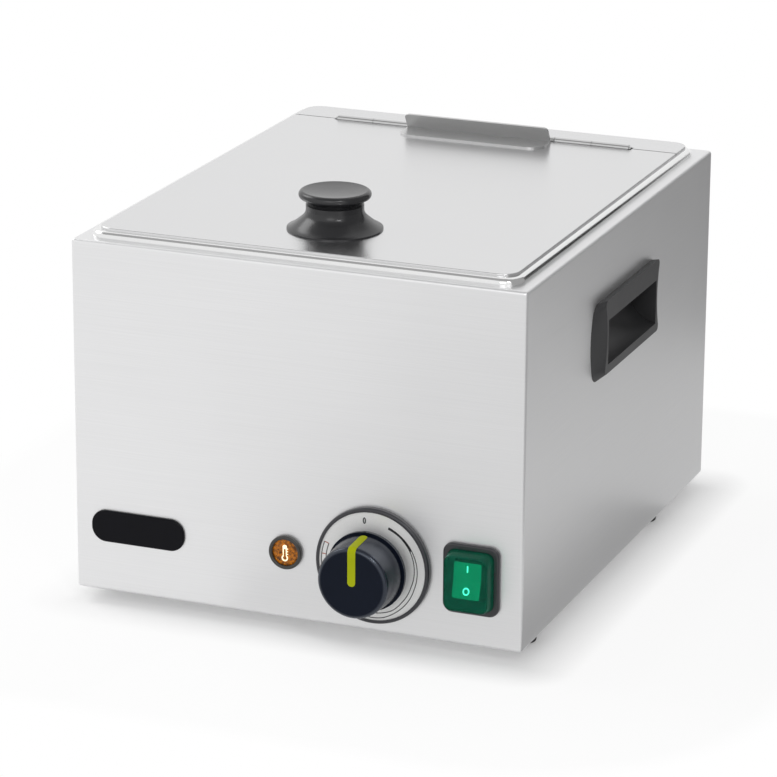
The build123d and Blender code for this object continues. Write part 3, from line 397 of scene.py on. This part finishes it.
def on_circle(centre, radius, angle):
    """Point on the front panel, clockwise from the top as seen from the front."""
    return (centre.x + radius * math.sin(angle), centre.y, centre.z + radius * math.cos(angle))


def between(table, value):
    """Value read from a table of (place, number) pairs, by straight lines."""
    for (a, first), (b, second) in zip(table, table[1:]):
        if value <= b:
            share = max(0.0, (value - a) / (b - a))
            return first + (second - first) * share
    return table[-1][1]


# Operators


class WARMER_OT_housing(bpy.types.Operator):
    """Brushed steel for the housing, its rear panel and its bottom plate"""
    bl_idname = "warmer.housing"
    bl_label = "Housing"

    def execute(self, context):
        steel = brushed_steel("housing_brushed", colours().housing, 0.40)
        dress(steel, "housing_shell", "rear_panel", "bottom_plate")
        zinc = drawn_steel("screw_zinc", (0.62, 0.62, 0.60), 0.28)
        dress(zinc, "rear_panel_screws", "bottom_plate_screws", "foot_screws", "foot_nuts",
              "element_nuts", "thermostat_screws", "lamp_nut", "earth_nuts", "lid_knob_washer",
              "lid_knob_screw", "thermostat_shaft")
        return {"FINISHED"}


class WARMER_OT_pan(bpy.types.Operator):
    """Polished steel for the pan and its perforated false bottom"""
    bl_idname = "warmer.pan"
    bl_label = "Pan"

    def execute(self, context):
        dress(drawn_steel("pan_polished", colours().pan, 0.13, smear=0.02), "pan", "false_bottom")
        return {"FINISHED"}


class WARMER_OT_lid(bpy.types.Operator):
    """Satin lid, hinge and stop bracket"""
    bl_idname = "warmer.lid"
    bl_label = "Lid"

    def execute(self, context):
        dress(brushed_steel("lid_satin", colours().lid, 0.26, grain=0.5, depth=0.002),
              "lid_front", "lid_rear_strip")
        dress(brushed_steel("bracket_satin", colours().bracket, 0.36, grain=0.8),
              "lid_stop_bracket")
        dress(drawn_steel("hinge_polished", (0.60, 0.60, 0.60), 0.16),
              "hinge_leaf_front", "hinge_leaf_rear", "hinge_pin")
        return {"FINISHED"}


class WARMER_OT_lid_knob(bpy.types.Operator):
    """Semi-gloss moulding for the lid knob"""
    bl_idname = "warmer.lid_knob"
    bl_label = "Lid knob"

    def execute(self, context):
        dress(moulded("lid_knob_black", (0.018, 0.018, 0.020), 0.24, grain=1400, depth=0.006),
              "lid_knob")
        return {"FINISHED"}


class WARMER_OT_handles(bpy.types.Operator):
    """Fine-grained plastic for the two side handles"""
    bl_idname = "warmer.handles"
    bl_label = "Side handles"

    def execute(self, context):
        dress(moulded("handle_black", (0.030, 0.030, 0.032), 0.42, grain=1600),
              "handle_left", "handle_right")
        return {"FINISHED"}


class WARMER_OT_badge(bpy.types.Operator):
    """Bare gloss badge"""
    bl_idname = "warmer.badge"
    bl_label = "Badge"

    def execute(self, context):
        gloss = moulded("badge_gloss", (0.004, 0.004, 0.006), 0.20, grain=500, depth=0.004,
                        Specular_IOR_Level=0.10)
        dress(gloss, "badge_plate")
        return {"FINISHED"}


class WARMER_OT_pilot_lamp(bpy.types.Operator):
    """Fluted amber lens with a lit thermometer sign"""
    bl_idname = "warmer.pilot_lamp"
    bl_label = "Pilot lamp"

    def execute(self, context):
        dress(moulded("bezel_black", (0.038, 0.037, 0.034), 0.30), "lamp_bezel")
        dress(moulded("lamp_body_black", (0.035, 0.035, 0.037), 0.5), "lamp_body")
        low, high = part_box("lamp_lens")
        face = front_of("lamp_lens")
        self.lens(face, (high.x - low.x) / 2, high.y)
        self.sign(face)
        return {"FINISHED"}

    def lens(self, face, radius, back):
        """Moulded lens: ringed steps, radial flutes and a rounded rim."""
        recipe = Recipe("lens_amber", colours().amber, 0.10, IOR=1.49, Specular_IOR_Level=0.3)
        recipe.glow(0.12)
        specks = recipe.noise(recipe.place(), 520.0, detail=2.0)
        cells = recipe.span(specks, 0.0, 1.0, 0.36, 0.64)
        recipe.tint(cells, 0.2, 1.7)
        recipe.bump(cells, 0.6, 0.2 * MM)
        flutes = sizes().lens_flutes
        steps = flutes * 4
        rings = (0.02, 0.18, 0.28, 0.38, 0.48, 0.58, 0.68, 0.78, 0.88, 0.96, 1.0)
        rim_start, stepped_to = 0.85, 0.9
        flute_depth, rim_depth, dome_depth, ring_step = 0.35 * MM, 0.45 * MM, 0.25 * MM, 0.12 * MM
        front_gap, back_gap, fit = 0.02 * MM, 0.05 * MM, 0.995

        def build(form):
            rows = []
            for number, ring in enumerate(rings):
                row = []
                step_in = ring_step * (number % 2) if ring < stepped_to else 0.0
                rim = rim_depth * max(0.0, ring - rim_start) / (1 - rim_start)
                dome = dome_depth * ring ** 2
                for step in range(steps):
                    angle = TURN * step / steps
                    flute = flute_depth * (0.5 - 0.5 * math.cos(angle * flutes)) * ring
                    x, _, z = on_circle(face, radius * fit * ring, angle)
                    y = face.y + front_gap + flute + rim + dome + step_in
                    row.append(form.verts.new((x, y, z)))
                rows.append(row)
            rows.append([form.verts.new((v.co.x, back - back_gap, v.co.z)) for v in rows[-1]])
            for first, second in zip(rows, rows[1:]):
                for i in range(steps):
                    j = (i + 1) % steps
                    form.faces.new((first[i], first[j], second[j], second[i]))
            form.faces.new(rows[0])
            form.faces.new(list(reversed(rows[-1])))

        lens = new_piece("lamp_lens_fluted", build, recipe, "housing", smooth=60)
        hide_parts("lamp_lens")

    def sign(self, face):
        """Thermometer: a stem and a bulb drawn as one outline, with three short scale lines."""
        stroke = 0.75 * MM
        sink, lift = Vector((0, 0.2 * MM, 0)), Vector((0, -0.12 * MM, 0))
        stem_half, bulb_r = 0.95 * MM, 1.6 * MM
        bulb_z, top_z = -3.1 * MM, 3.6 * MM
        fill_depth, line_length, line_height = 1.2 * MM, 0.7 * MM, 0.5 * MM
        cap_steps, bulb_steps = 12, 24
        neck = math.asin(stem_half / bulb_r)

        def outline(grow):
            points = []
            half, radius = stem_half + grow, bulb_r + grow
            for step in range(cap_steps + 1):
                angle = math.pi - math.pi * step / cap_steps
                points.append((half * math.cos(angle), top_z + half * math.sin(angle)))
            for step in range(bulb_steps + 1):
                angle = neck + (TURN - 2 * neck) * step / bulb_steps
                points.append((radius * math.sin(angle), bulb_z + radius * math.cos(angle)))
            return [(face.x + a, face.y, face.z + b) for a, b in points]

        def build(form):
            strip(form, outline(-stroke / 2), outline(stroke / 2), sink, lift, closed=True)
            top = face.z + top_z
            heights = (top - fill_depth, top + stem_half)
            left = [(face.x - stem_half, face.y, z) for z in heights]
            right = [(face.x + stem_half, face.y, z) for z in heights]
            strip(form, left, right, sink, lift * 0.8)
            for level in (-0.9, 0.7, 2.3):
                z = face.z + level * MM
                start = face.x + stem_half + stroke / 2
                line = [(start, face.y, z), (start + line_length, face.y, z)]
                high = [(a, b, c + line_height) for a, b, c in line]
                strip(form, line, high, sink, lift)

        lit = printed("sign_glow", (1.0, 0.80, 0.52), glow=0.9)
        new_piece("lamp_sign", build, lit, "housing")


class WARMER_OT_dial(bpy.types.Operator):
    """Spun dial plate with its printed scale, in a black ring"""
    bl_idname = "warmer.dial"
    bl_label = "Dial"

    # Scale of the dial: degrees clockwise from the top, and millimetres from the middle
    outer_edge = ((22, 26.7), (80, 27.7), (112, 28.0), (148, 29.8), (168, 31.2), (292, 31.4))
    inner_edge = ((22, 26.0), (60, 26.3), (112, 25.8), (136, 26.8), (154, 28.2), (292, 28.6))
    outer_start, inner_start, scale_end = 22, 44, 291
    end_marks, end_inner, end_outer = (291, 277), 28.6, 31.4
    zero_angle, zero_place = -10, 27.6

    # The scale's bold start is a row of short bars, each thinner and further out than the last
    bars, bar_step, bar_length = 8, 5, 5.5
    bar_place, bar_rise, bar_width, bar_thinning = 26.45, 0.05, 1.5, 0.06

    def execute(self, context):
        dress(moulded("dial_ring_black", (0.030, 0.030, 0.036), 0.30), "dial_ring")
        face = front_of("dial_plate")
        dress(self.spun_plate(face), "dial_plate")
        ink = printed("dial_ink", (0.045, 0.045, 0.05))
        line = sizes().dial_line
        depth = Vector((0, 0.03 * MM, 0)), Vector((0, -sizes().print_depth, 0))
        arc_steps = 80

        def arc(form, table, start, end):
            degrees = [start + (end - start) * i / arc_steps for i in range(arc_steps + 1)]
            angles = [math.radians(a) for a in degrees]
            radii = [between(table, math.degrees(a)) * MM for a in angles]
            inner = [on_circle(face, r - line / 2, a) for r, a in zip(radii, angles)]
            outer = [on_circle(face, r + line / 2, a) for r, a in zip(radii, angles)]
            strip(form, inner, outer, *depth)

        def bar(form, start, end, width):
            (angle_a, r_a), (angle_b, r_b) = start, end
            a = Vector(on_circle(face, r_a * MM, math.radians(angle_a)))
            b = Vector(on_circle(face, r_b * MM, math.radians(angle_b)))
            across = (b - a).cross(Vector((0, 1, 0))).normalized() * width / 2
            strip(form, [a - across, b - across], [a + across, b + across], *depth)

        def scale(form):
            arc(form, self.outer_edge, self.outer_start, self.scale_end)
            arc(form, self.inner_edge, self.inner_start, self.scale_end)
            for index in range(self.bars):
                angle = self.outer_start + self.bar_step * index
                place = self.bar_place + self.bar_rise * index
                width = (self.bar_width - self.bar_thinning * index) * MM
                bar(form, (angle, place), (angle + self.bar_length, place + self.bar_rise), width)

        def zero(form):
            count, half_width, half_height, stroke = 32, 0.25 * MM, 1.2 * MM, 1.4 * line
            centre = Vector(on_circle(face, self.zero_place * MM, math.radians(self.zero_angle)))
            rows = []
            for grow in (0, stroke):
                rows.append([
                    (centre.x + (half_width + grow) * math.cos(TURN * i / count), centre.y,
                     centre.z + (half_height + grow) * math.sin(TURN * i / count))
                    for i in range(count)
                ])
            strip(form, *rows, *depth, closed=True)

        def end_mark(form):
            for angle in self.end_marks:
                bar(form, (angle, self.end_inner), (angle, self.end_outer), line)

        new_piece("dial_scale", scale, ink, "housing")
        new_piece("dial_zero", zero, ink, "housing")
        red = printed("dial_red_ink", (0.42, 0.12, 0.08))
        new_piece("dial_end_mark", end_mark, red, "housing")
        return {"FINISHED"}

    def spun_plate(self, face):
        """Aluminium turned on a lathe: rings about the dial's middle, and fine sparkle."""
        recipe = Recipe("dial_spun", (0.96, 0.96, 0.94), 0.42, metallic=0.35, Anisotropic=0.8)
        flat = recipe.vector("MULTIPLY", recipe.vector("SUBTRACT", recipe.place(), face), (1, 0, 1))
        turns = recipe.node("ShaderNodeCombineXYZ")
        recipe.link(recipe.vector("LENGTH", flat), turns.inputs["X"])
        rings = recipe.noise(turns.outputs["Vector"], 7000.0, detail=3.0)
        sparkle = recipe.noise(recipe.place(), 2400.0, detail=2.0)
        shade = recipe.maths("ADD", recipe.span(rings, 0.0, 0.6), recipe.span(sparkle, 0.0, 0.4))
        recipe.tint(shade, 0.74, 1.2)
        recipe.blur(shade, 0.10)
        recipe.bump(shade, 0.25, 0.010 * MM)
        recipe.link(recipe.vector("NORMALIZE", flat), recipe.shader.inputs["Tangent"])
        return recipe


class WARMER_OT_control_knob(bpy.types.Operator):
    """Thermostat knob with a satin face, a glossier rim and side, and its coloured pointer"""
    bl_idname = "warmer.control_knob"
    bl_label = "Control knob"

    def execute(self, context):
        face_gloss, side_gloss = 0.16, 0.8
        satin = Recipe("knob_satin", colours().knob, 0.24, Specular_Tint=(0.78, 0.86, 1.0, 1.0))
        satin.blur(satin.noise(satin.place(), 45.0), 0.06)
        satin.bump(satin.noise(satin.place(), 1500.0, detail=2.0), 0.25, 0.012 * MM)
        polish = satin.span(satin.facing("Y"), face_gloss, side_gloss, -0.995, -0.90)
        satin.link(polish, satin.shader.inputs["Specular IOR Level"])
        satin.tint(satin.noise(satin.place(), 45.0, detail=2.0), 0.85, 1.2)
        dress(satin, "control_knob")
        pointer = moulded("pointer_green", colours().pointer, 0.42, grain=1500,
                          Specular_IOR_Level=0.1)
        dress(pointer, "knob_pointer")
        return {"FINISHED"}


class WARMER_OT_switch(bpy.types.Operator):
    """Lit green rocker with its marks, under a clear boot in a black frame"""
    bl_idname = "warmer.switch"
    bl_label = "Switch"

    def execute(self, context):
        dress(moulded("switch_frame_black", (0.030, 0.030, 0.034), 0.34), "switch_frame")
        lit = moulded("rocker_lit", colours().green, 0.3, grain=1200, depth=0.004)
        self.glow_front_paint_shaded_sides(lit)
        dress(lit, "rocker")
        dress(self.clear_boot(), "switch_boot")
        dress(drawn_steel("blade_brass", (0.62, 0.45, 0.18), 0.3), "switch_terminals")
        self.marks()
        return {"FINISHED"}

    def glow_front_paint_shaded_sides(self, lit):
        """Lets the rocker glow on its front only, and paints its sides near-black as painted shade.
        """
        front = lit.span(lit.facing("Y"), 0.0, 1.0, -0.80, -0.95)
        lit.glow(front)
        base = lit.shader.inputs["Base Color"]
        # Painted shade: faces that turn away from the front get a near-black green instead of the
        # rocker's moulded green.
        front_lit_sides_painted_shade = lit.mix(front, (0.0, 0.03, 0.012, 1.0), base.links[0].from_socket)
        lit.link(front_lit_sides_painted_shade, base)

    def clear_boot(self):
        """Clear soft cover with a green cast of its own."""
        recipe = Recipe("boot_clear", (0.06, 0.62, 0.42), 0.06, IOR=1.14, Transmission_Weight=0.94)
        ripple = recipe.noise(recipe.place(), 160.0, detail=2.0)
        recipe.tint(ripple, 0.8, 1.15)
        recipe.bump(ripple, 0.12, 0.2 * MM)
        return recipe

    def marks(self):
        """I and O, each standing on its own half of the V-shaped face."""
        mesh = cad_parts["rocker"].data
        middle_x, middle_z = middle_of("rocker").x, middle_of("dial_ring").z
        stroke = sizes().mark_stroke
        lower, upper = -1, 1
        halves = {}
        for side in (lower, upper):
            faces = [p for p in mesh.polygons
                     if p.normal.y < -0.8 and (p.center.z - middle_z) * side > 0]
            flat = max(faces, key=lambda p: p.area)
            halves[side] = (flat.center.copy(), flat.normal.copy())

        def on_face(side, a, b):
            centre, normal = halves[side]
            x, z = middle_x + a, middle_z + b
            slope = normal.z * (z - centre.z) + normal.x * (x - centre.x)
            return (x, centre.y - slope / normal.y, z)

        def build(form):
            lift, sink = Vector((0, -0.10 * MM, 0)), Vector((0, 0.1 * MM, 0))
            bar_half, bar_z = 1.9 * MM, 8.4 * MM
            ends = (bar_z - bar_half, bar_z + bar_half)
            left, right = ([on_face(upper, x, z) for z in ends] for x in (-stroke / 2, stroke / 2))
            strip(form, left, right, sink, lift)
            count, ring_x, ring_z, ring_level = 36, 1.65 * MM, 1.8 * MM, -4.3 * MM
            rows = []
            for grow in (-stroke / 2, stroke / 2):
                rows.append([
                    on_face(lower, (ring_x + grow) * math.cos(TURN * i / count),
                            ring_level + (ring_z + grow) * math.sin(TURN * i / count))
                    for i in range(count)
                ])
            strip(form, *rows, sink, lift, closed=True)

        white = printed("mark_white", (1.0, 1.0, 1.0), glow=2.2)
        new_piece("rocker_marks", build, white, "switch_rocker")


class WARMER_OT_feet(bpy.types.Operator):
    """Matte rubber for the four feet"""
    bl_idname = "warmer.feet"
    bl_label = "Feet"

    def execute(self, context):
        dress(moulded("foot_rubber", (0.022, 0.022, 0.022), 0.7, grain=800, depth=0.03),
              "foot_front_left", "foot_front_right", "foot_rear_left", "foot_rear_right")
        return {"FINISHED"}


class WARMER_OT_heater(bpy.types.Operator):
    """Heat-tinted heater, the well that holds it and the sensing parts"""
    bl_idname = "warmer.heater"
    bl_label = "Heater"

    def execute(self, context):
        dress(brushed_steel("well_mill", (0.58, 0.58, 0.57), 0.38, grain=1.2),
              "heat_well", "element_supports", "bulb_clips")
        recipe = Recipe("element_tinted", (0.30, 0.27, 0.24), 0.36, metallic=1.0)
        bands = recipe.noise(recipe.place(), 60.0, detail=4.0)
        recipe.tint(bands, 0.6, 1.7)
        recipe.blur(bands, 0.12)
        recipe.bump(recipe.noise(recipe.place(), 900.0), 0.2, 0.03 * MM)
        dress(recipe, "heating_element")
        dress(moulded("terminal_ceramic", (0.72, 0.69, 0.62), 0.6, grain=700), "element_terminals")
        dress(drawn_steel("bulb_copper", (0.72, 0.38, 0.22), 0.3, smear=0.15), "thermostat_bulb")
        dress(moulded("phenolic_brown", (0.055, 0.032, 0.022), 0.45, grain=500),
              "thermostat_body", "safety_cutout")
        return {"FINISHED"}


class WARMER_OT_wiring(bpy.types.Operator):
    """Insulated wires, terminal block, earth stud and cable gland"""
    bl_idname = "warmer.wiring"
    bl_label = "Wiring"

    def execute(self, context):
        dress(moulded("wire_brown", (0.13, 0.05, 0.02), 0.45), "live_wires")
        dress(moulded("wire_blue", (0.02, 0.08, 0.42), 0.45), "neutral_wires")
        self.striped_earth()
        dress(moulded("block_ivory", (0.70, 0.66, 0.54), 0.5), "terminal_block")
        dress(drawn_steel("terminal_brass", (0.66, 0.48, 0.20), 0.28, smear=0.1),
              "terminal_block_screws", "earth_stud")
        dress(moulded("gland_black", (0.022, 0.022, 0.023), 0.5, grain=700),
              "gland_body", "gland_cap", "gland_nut")
        return {"FINISHED"}

    def striped_earth(self):
        """Green insulation with a yellow stripe."""
        recipe = Recipe("wire_earth", (0.06, 0.30, 0.05), 0.45)
        wave = recipe.node("ShaderNodeTexWave", wave_type="BANDS", bands_direction="Z")
        wave.inputs["Scale"].default_value = 180.0
        recipe.link(recipe.place(), wave.inputs["Vector"])
        stripe = recipe.span(wave.outputs["Fac"], 0.0, 1.0, 0.45, 0.55)
        striped = recipe.mix(stripe, recipe.colour, (0.75, 0.62, 0.04, 1.0))
        recipe.link(striped, recipe.shader.inputs["Base Color"])
        recipe.bump(recipe.noise(recipe.place(), 700.0), 0.15, 0.02 * MM)
        dress(recipe, "earth_wire")


class WARMER_OT_studio(bpy.types.Operator):
    """Pale floor, soft light and the camera"""
    bl_idname = "warmer.studio"
    bl_label = "Studio"

    def execute(self, context):
        self.floor()
        self.world(context.scene)
        self.cards()
        self.lamps()
        self.camera(context.scene)
        context.scene.view_settings.view_transform = "Standard"
        return {"FINISHED"}

    def floor(self):
        """Table that keeps the shadow near the housing and runs out into the white background."""
        recipe = Recipe("table_white", (0.95, 0.95, 0.95), 0.6)
        low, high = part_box("housing_shell")
        middle, half = (low + high) / 2, (high - low) / 2
        # How far a point of the table is from the housing's footprint, with no height in it
        beyond = recipe.vector("SUBTRACT", recipe.place(), (middle.x, middle.y, 0))
        beyond = recipe.vector("SUBTRACT", recipe.vector("ABSOLUTE", beyond), (half.x, half.y, 1))
        away = recipe.vector("LENGTH", recipe.vector("MAXIMUM", beyond, (0, 0, 0)))
        white = recipe.node("ShaderNodeEmission")
        white.inputs["Strength"].default_value = 1.0
        near = recipe.span(away, FOOT_WHITE, NEAR_WHITE, 0.0, NEAR_REACH)
        far = recipe.span(away, 0.0, 1.0, 0.0, FAR_REACH)
        share = recipe.maths("MULTIPLY", recipe.maths("MAXIMUM", near, far),
                             seen_white(recipe.tree))
        mix = recipe.node("ShaderNodeMixShader")
        recipe.link(share, mix.inputs["Fac"])
        recipe.link(recipe.shader.outputs["BSDF"], mix.inputs[1])
        recipe.link(white.outputs["Emission"], mix.inputs[2])
        recipe.surface(mix.outputs["Shader"])
        form = bmesh.new()
        previous = None
        for radius in TABLE_RINGS:
            angles = [TURN * i / TABLE_SIDES for i in range(TABLE_SIDES)]
            row = [form.verts.new((radius * math.cos(a), radius * math.sin(a), 0)) for a in angles]
            if previous is None:
                form.faces.new(row)
            else:
                for i in range(TABLE_SIDES):
                    j = (i + 1) % TABLE_SIDES
                    form.faces.new((previous[i], row[i], row[j], previous[j]))
            previous = row
        table = mesh_object("table", form, recipe)

    def world(self, scene):
        """White behind the object, and a studio that darkens towards the right."""
        world = bpy.data.worlds.new("studio")
        scene.world = world
        world.use_nodes = True
        tree = world.node_tree
        background = tree.nodes["Background"]
        coordinates = tree.nodes.new("ShaderNodeTexCoord")
        parts = tree.nodes.new("ShaderNodeSeparateXYZ")
        tree.links.new(coordinates.outputs["Generated"], parts.inputs["Vector"])
        ramp = tree.nodes.new("ShaderNodeValToRGB")
        spread = tree.nodes.new("ShaderNodeMapRange")
        spread.inputs["From Min"].default_value = -1.0
        tree.links.new(parts.outputs["X"], spread.inputs["Value"])
        tree.links.new(spread.outputs["Result"], ramp.inputs["Fac"])
        level = studio().fill_level
        stops = ((0.0, 1.35), (0.45, 1.2), (0.7, 0.8), (1.0, 0.55))
        elements = ramp.color_ramp.elements
        while len(elements) < len(stops):
            elements.new(0.5)
        for element, (place, share) in zip(elements, stops):
            element.position = place
            element.color = (level * share, level * share, level * share, 1.0)
        mix = tree.nodes.new("ShaderNodeMix")
        mix.data_type = "RGBA"
        mix.inputs["B"].default_value = (1, 1, 1, 1)
        tree.links.new(seen_white(tree), mix.inputs["Factor"])
        tree.links.new(ramp.outputs["Color"], mix.inputs["A"])
        tree.links.new(mix.outputs["Result"], background.inputs["Color"])
        background.inputs["Strength"].default_value = 1.0

    def cards(self):
        """Grey cards that only reflections show: at the right, overhead and flat on the table, one
        of them a painted shadow beside the housing.
        """
        def standing(start, end):
            return [(*start, CARD_FOOT), (*end, CARD_FOOT), (*end, CARD_TOP), (*start, CARD_TOP)]

        def lying(height, *corners):
            return [(*corner, height) for corner in corners]

        panels = (
            ("card_right", 0.40, standing((0.30, -0.30), (0.50, 0.60))),
            ("card_rear", 0.04, standing((0.50, 0.60), (0.72, 1.60))),
            ("card_above", 0.42,
             lying(CARD_ABOVE, (-0.9, -0.9), (0.6, -0.9), (0.6, 0.1), (-0.9, 0.1))),
            # The darker mat beside the housing's right side is a painted shadow of the table, seen
            # only in the side's reflection.
            ("mat_painted_shadow", 0.36,
             lying(MAT_HEIGHT, (0.145, -0.17), (0.21, -0.17), (0.21, 0.12), (0.145, 0.12))),
            ("mat_right", 0.72,
             lying(MAT_HEIGHT, (0.21, -0.17), (0.9, -0.17), (0.9, 0.48), (0.21, 0.12))),
            ("mat_side", 0.62,
             lying(MAT_HEIGHT, (0.145, 0.12), (0.21, 0.12), (0.9, 0.48), (0.145, 0.48))),
            ("mat_rear", 0.34,
             lying(MAT_HEIGHT, (0.15, 0.48), (0.9, 0.48), (0.9, 1.8), (0.15, 1.8))),
            ("mat_front", 0.78,
             lying(MAT_HEIGHT, (-0.05, -0.18), (-0.30, -1.4), (0.8, -1.4), (0.4, -0.18))),
        )
        for name, level, corners in panels:
            grey = Recipe(name + "_grey", (level, level, level), 0.9)
            grey.bump(grey.noise(grey.place(), 300.0), 0.1, 0.05 * MM)
            shade = grey.node("ShaderNodeEmission")
            shade.inputs["Color"].default_value = grey.colour
            grey.surface(shade.outputs["Emission"])
            form = bmesh.new()
            form.faces.new([form.verts.new(corner) for corner in corners])
            card = mesh_object(name, form, grey)
            for sight in ("camera", "diffuse", "shadow", "transmission"):
                setattr(card, f"visible_{sight}", False)

    def lamps(self):
        """A broad key from the upper left, a weak front light and a small one for the rims."""
        places = (
            ("key", (-1.7, 0.2, 1.6), 1.3, studio().key_energy),
            ("front", (0.2, -2.6, 1.3), 1.4, studio().key_energy * 0.5),
            ("rim", (1.1, -1.5, 1.5), 0.3, studio().key_energy * 0.4),
        )
        for name, place, size, energy in places:
            light = bpy.data.lights.new(name, "AREA")
            light.shape = "DISK"
            light.size = size
            light.energy = energy
            lamp = bpy.data.objects.new(name, light)
            lamp.location = place
            direction = Vector(LAMP_TARGET) - Vector(place)
            lamp.rotation_euler = direction.to_track_quat("-Z", "Y").to_euler()
            bpy.context.scene.collection.objects.link(lamp)

    def camera(self, scene):
        set_up = studio()
        data = bpy.data.cameras.new("camera")
        data.lens = set_up.focal_length
        data.sensor_width = 36.0
        camera = bpy.data.objects.new("camera", data)
        camera.location = set_up.camera_place
        a, e = set_up.azimuth, set_up.elevation
        back = Vector((math.sin(a) * math.cos(e), -math.cos(a) * math.cos(e), math.sin(e)))
        aim = (-back).to_track_quat("-Z", "Y").to_matrix().to_4x4()
        roll = Euler((0, 0, set_up.roll)).to_matrix().to_4x4()
        camera.rotation_euler = (aim @ roll).to_euler()
        scene.collection.objects.link(camera)
        scene.camera = camera


PROPERTY_GROUPS = (WarmerSizes, WarmerColours, WarmerStudio)
OPERATORS = (
    WARMER_OT_housing, WARMER_OT_pan, WARMER_OT_lid, WARMER_OT_lid_knob, WARMER_OT_handles,
    WARMER_OT_badge, WARMER_OT_pilot_lamp, WARMER_OT_dial, WARMER_OT_control_knob,
    WARMER_OT_switch, WARMER_OT_feet, WARMER_OT_heater, WARMER_OT_wiring, WARMER_OT_studio,
)


class WARMER_PT_panel(bpy.types.Panel):
    """Lists the warmer's pieces and settings"""
    bl_idname = "WARMER_PT_panel"
    bl_label = "Sausage warmer"
    bl_space_type = "VIEW_3D"
    bl_region_type = "UI"
    bl_category = "Warmer"

    def draw(self, context):
        layout = self.layout
        for operator in OPERATORS:
            layout.operator(operator.bl_idname)
        for group in (sizes(), colours(), studio()):
            box = layout.box()
            for name in group.bl_rna.properties.keys():
                if name not in ("rna_type", "name"):
                    box.prop(group, name)


def register():
    for kind in (*PROPERTY_GROUPS, *OPERATORS, WARMER_PT_panel):
        bpy.utils.register_class(kind)
    bpy.types.Scene.warmer_sizes = PointerProperty(type=WarmerSizes)
    bpy.types.Scene.warmer_colours = PointerProperty(type=WarmerColours)
    bpy.types.Scene.warmer_studio = PointerProperty(type=WarmerStudio)


def unregister():
    del bpy.types.Scene.warmer_studio
    del bpy.types.Scene.warmer_colours
    del bpy.types.Scene.warmer_sizes
    for kind in reversed((*PROPERTY_GROUPS, *OPERATORS, WARMER_PT_panel)):
        bpy.utils.unregister_class(kind)


def main():
    """Registers the add-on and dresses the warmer."""
    register()
    for operator in OPERATORS:
        group, name = operator.bl_idname.split(".")
        getattr(getattr(bpy.ops, group), name)()


if __name__ == "__main__":
    main()
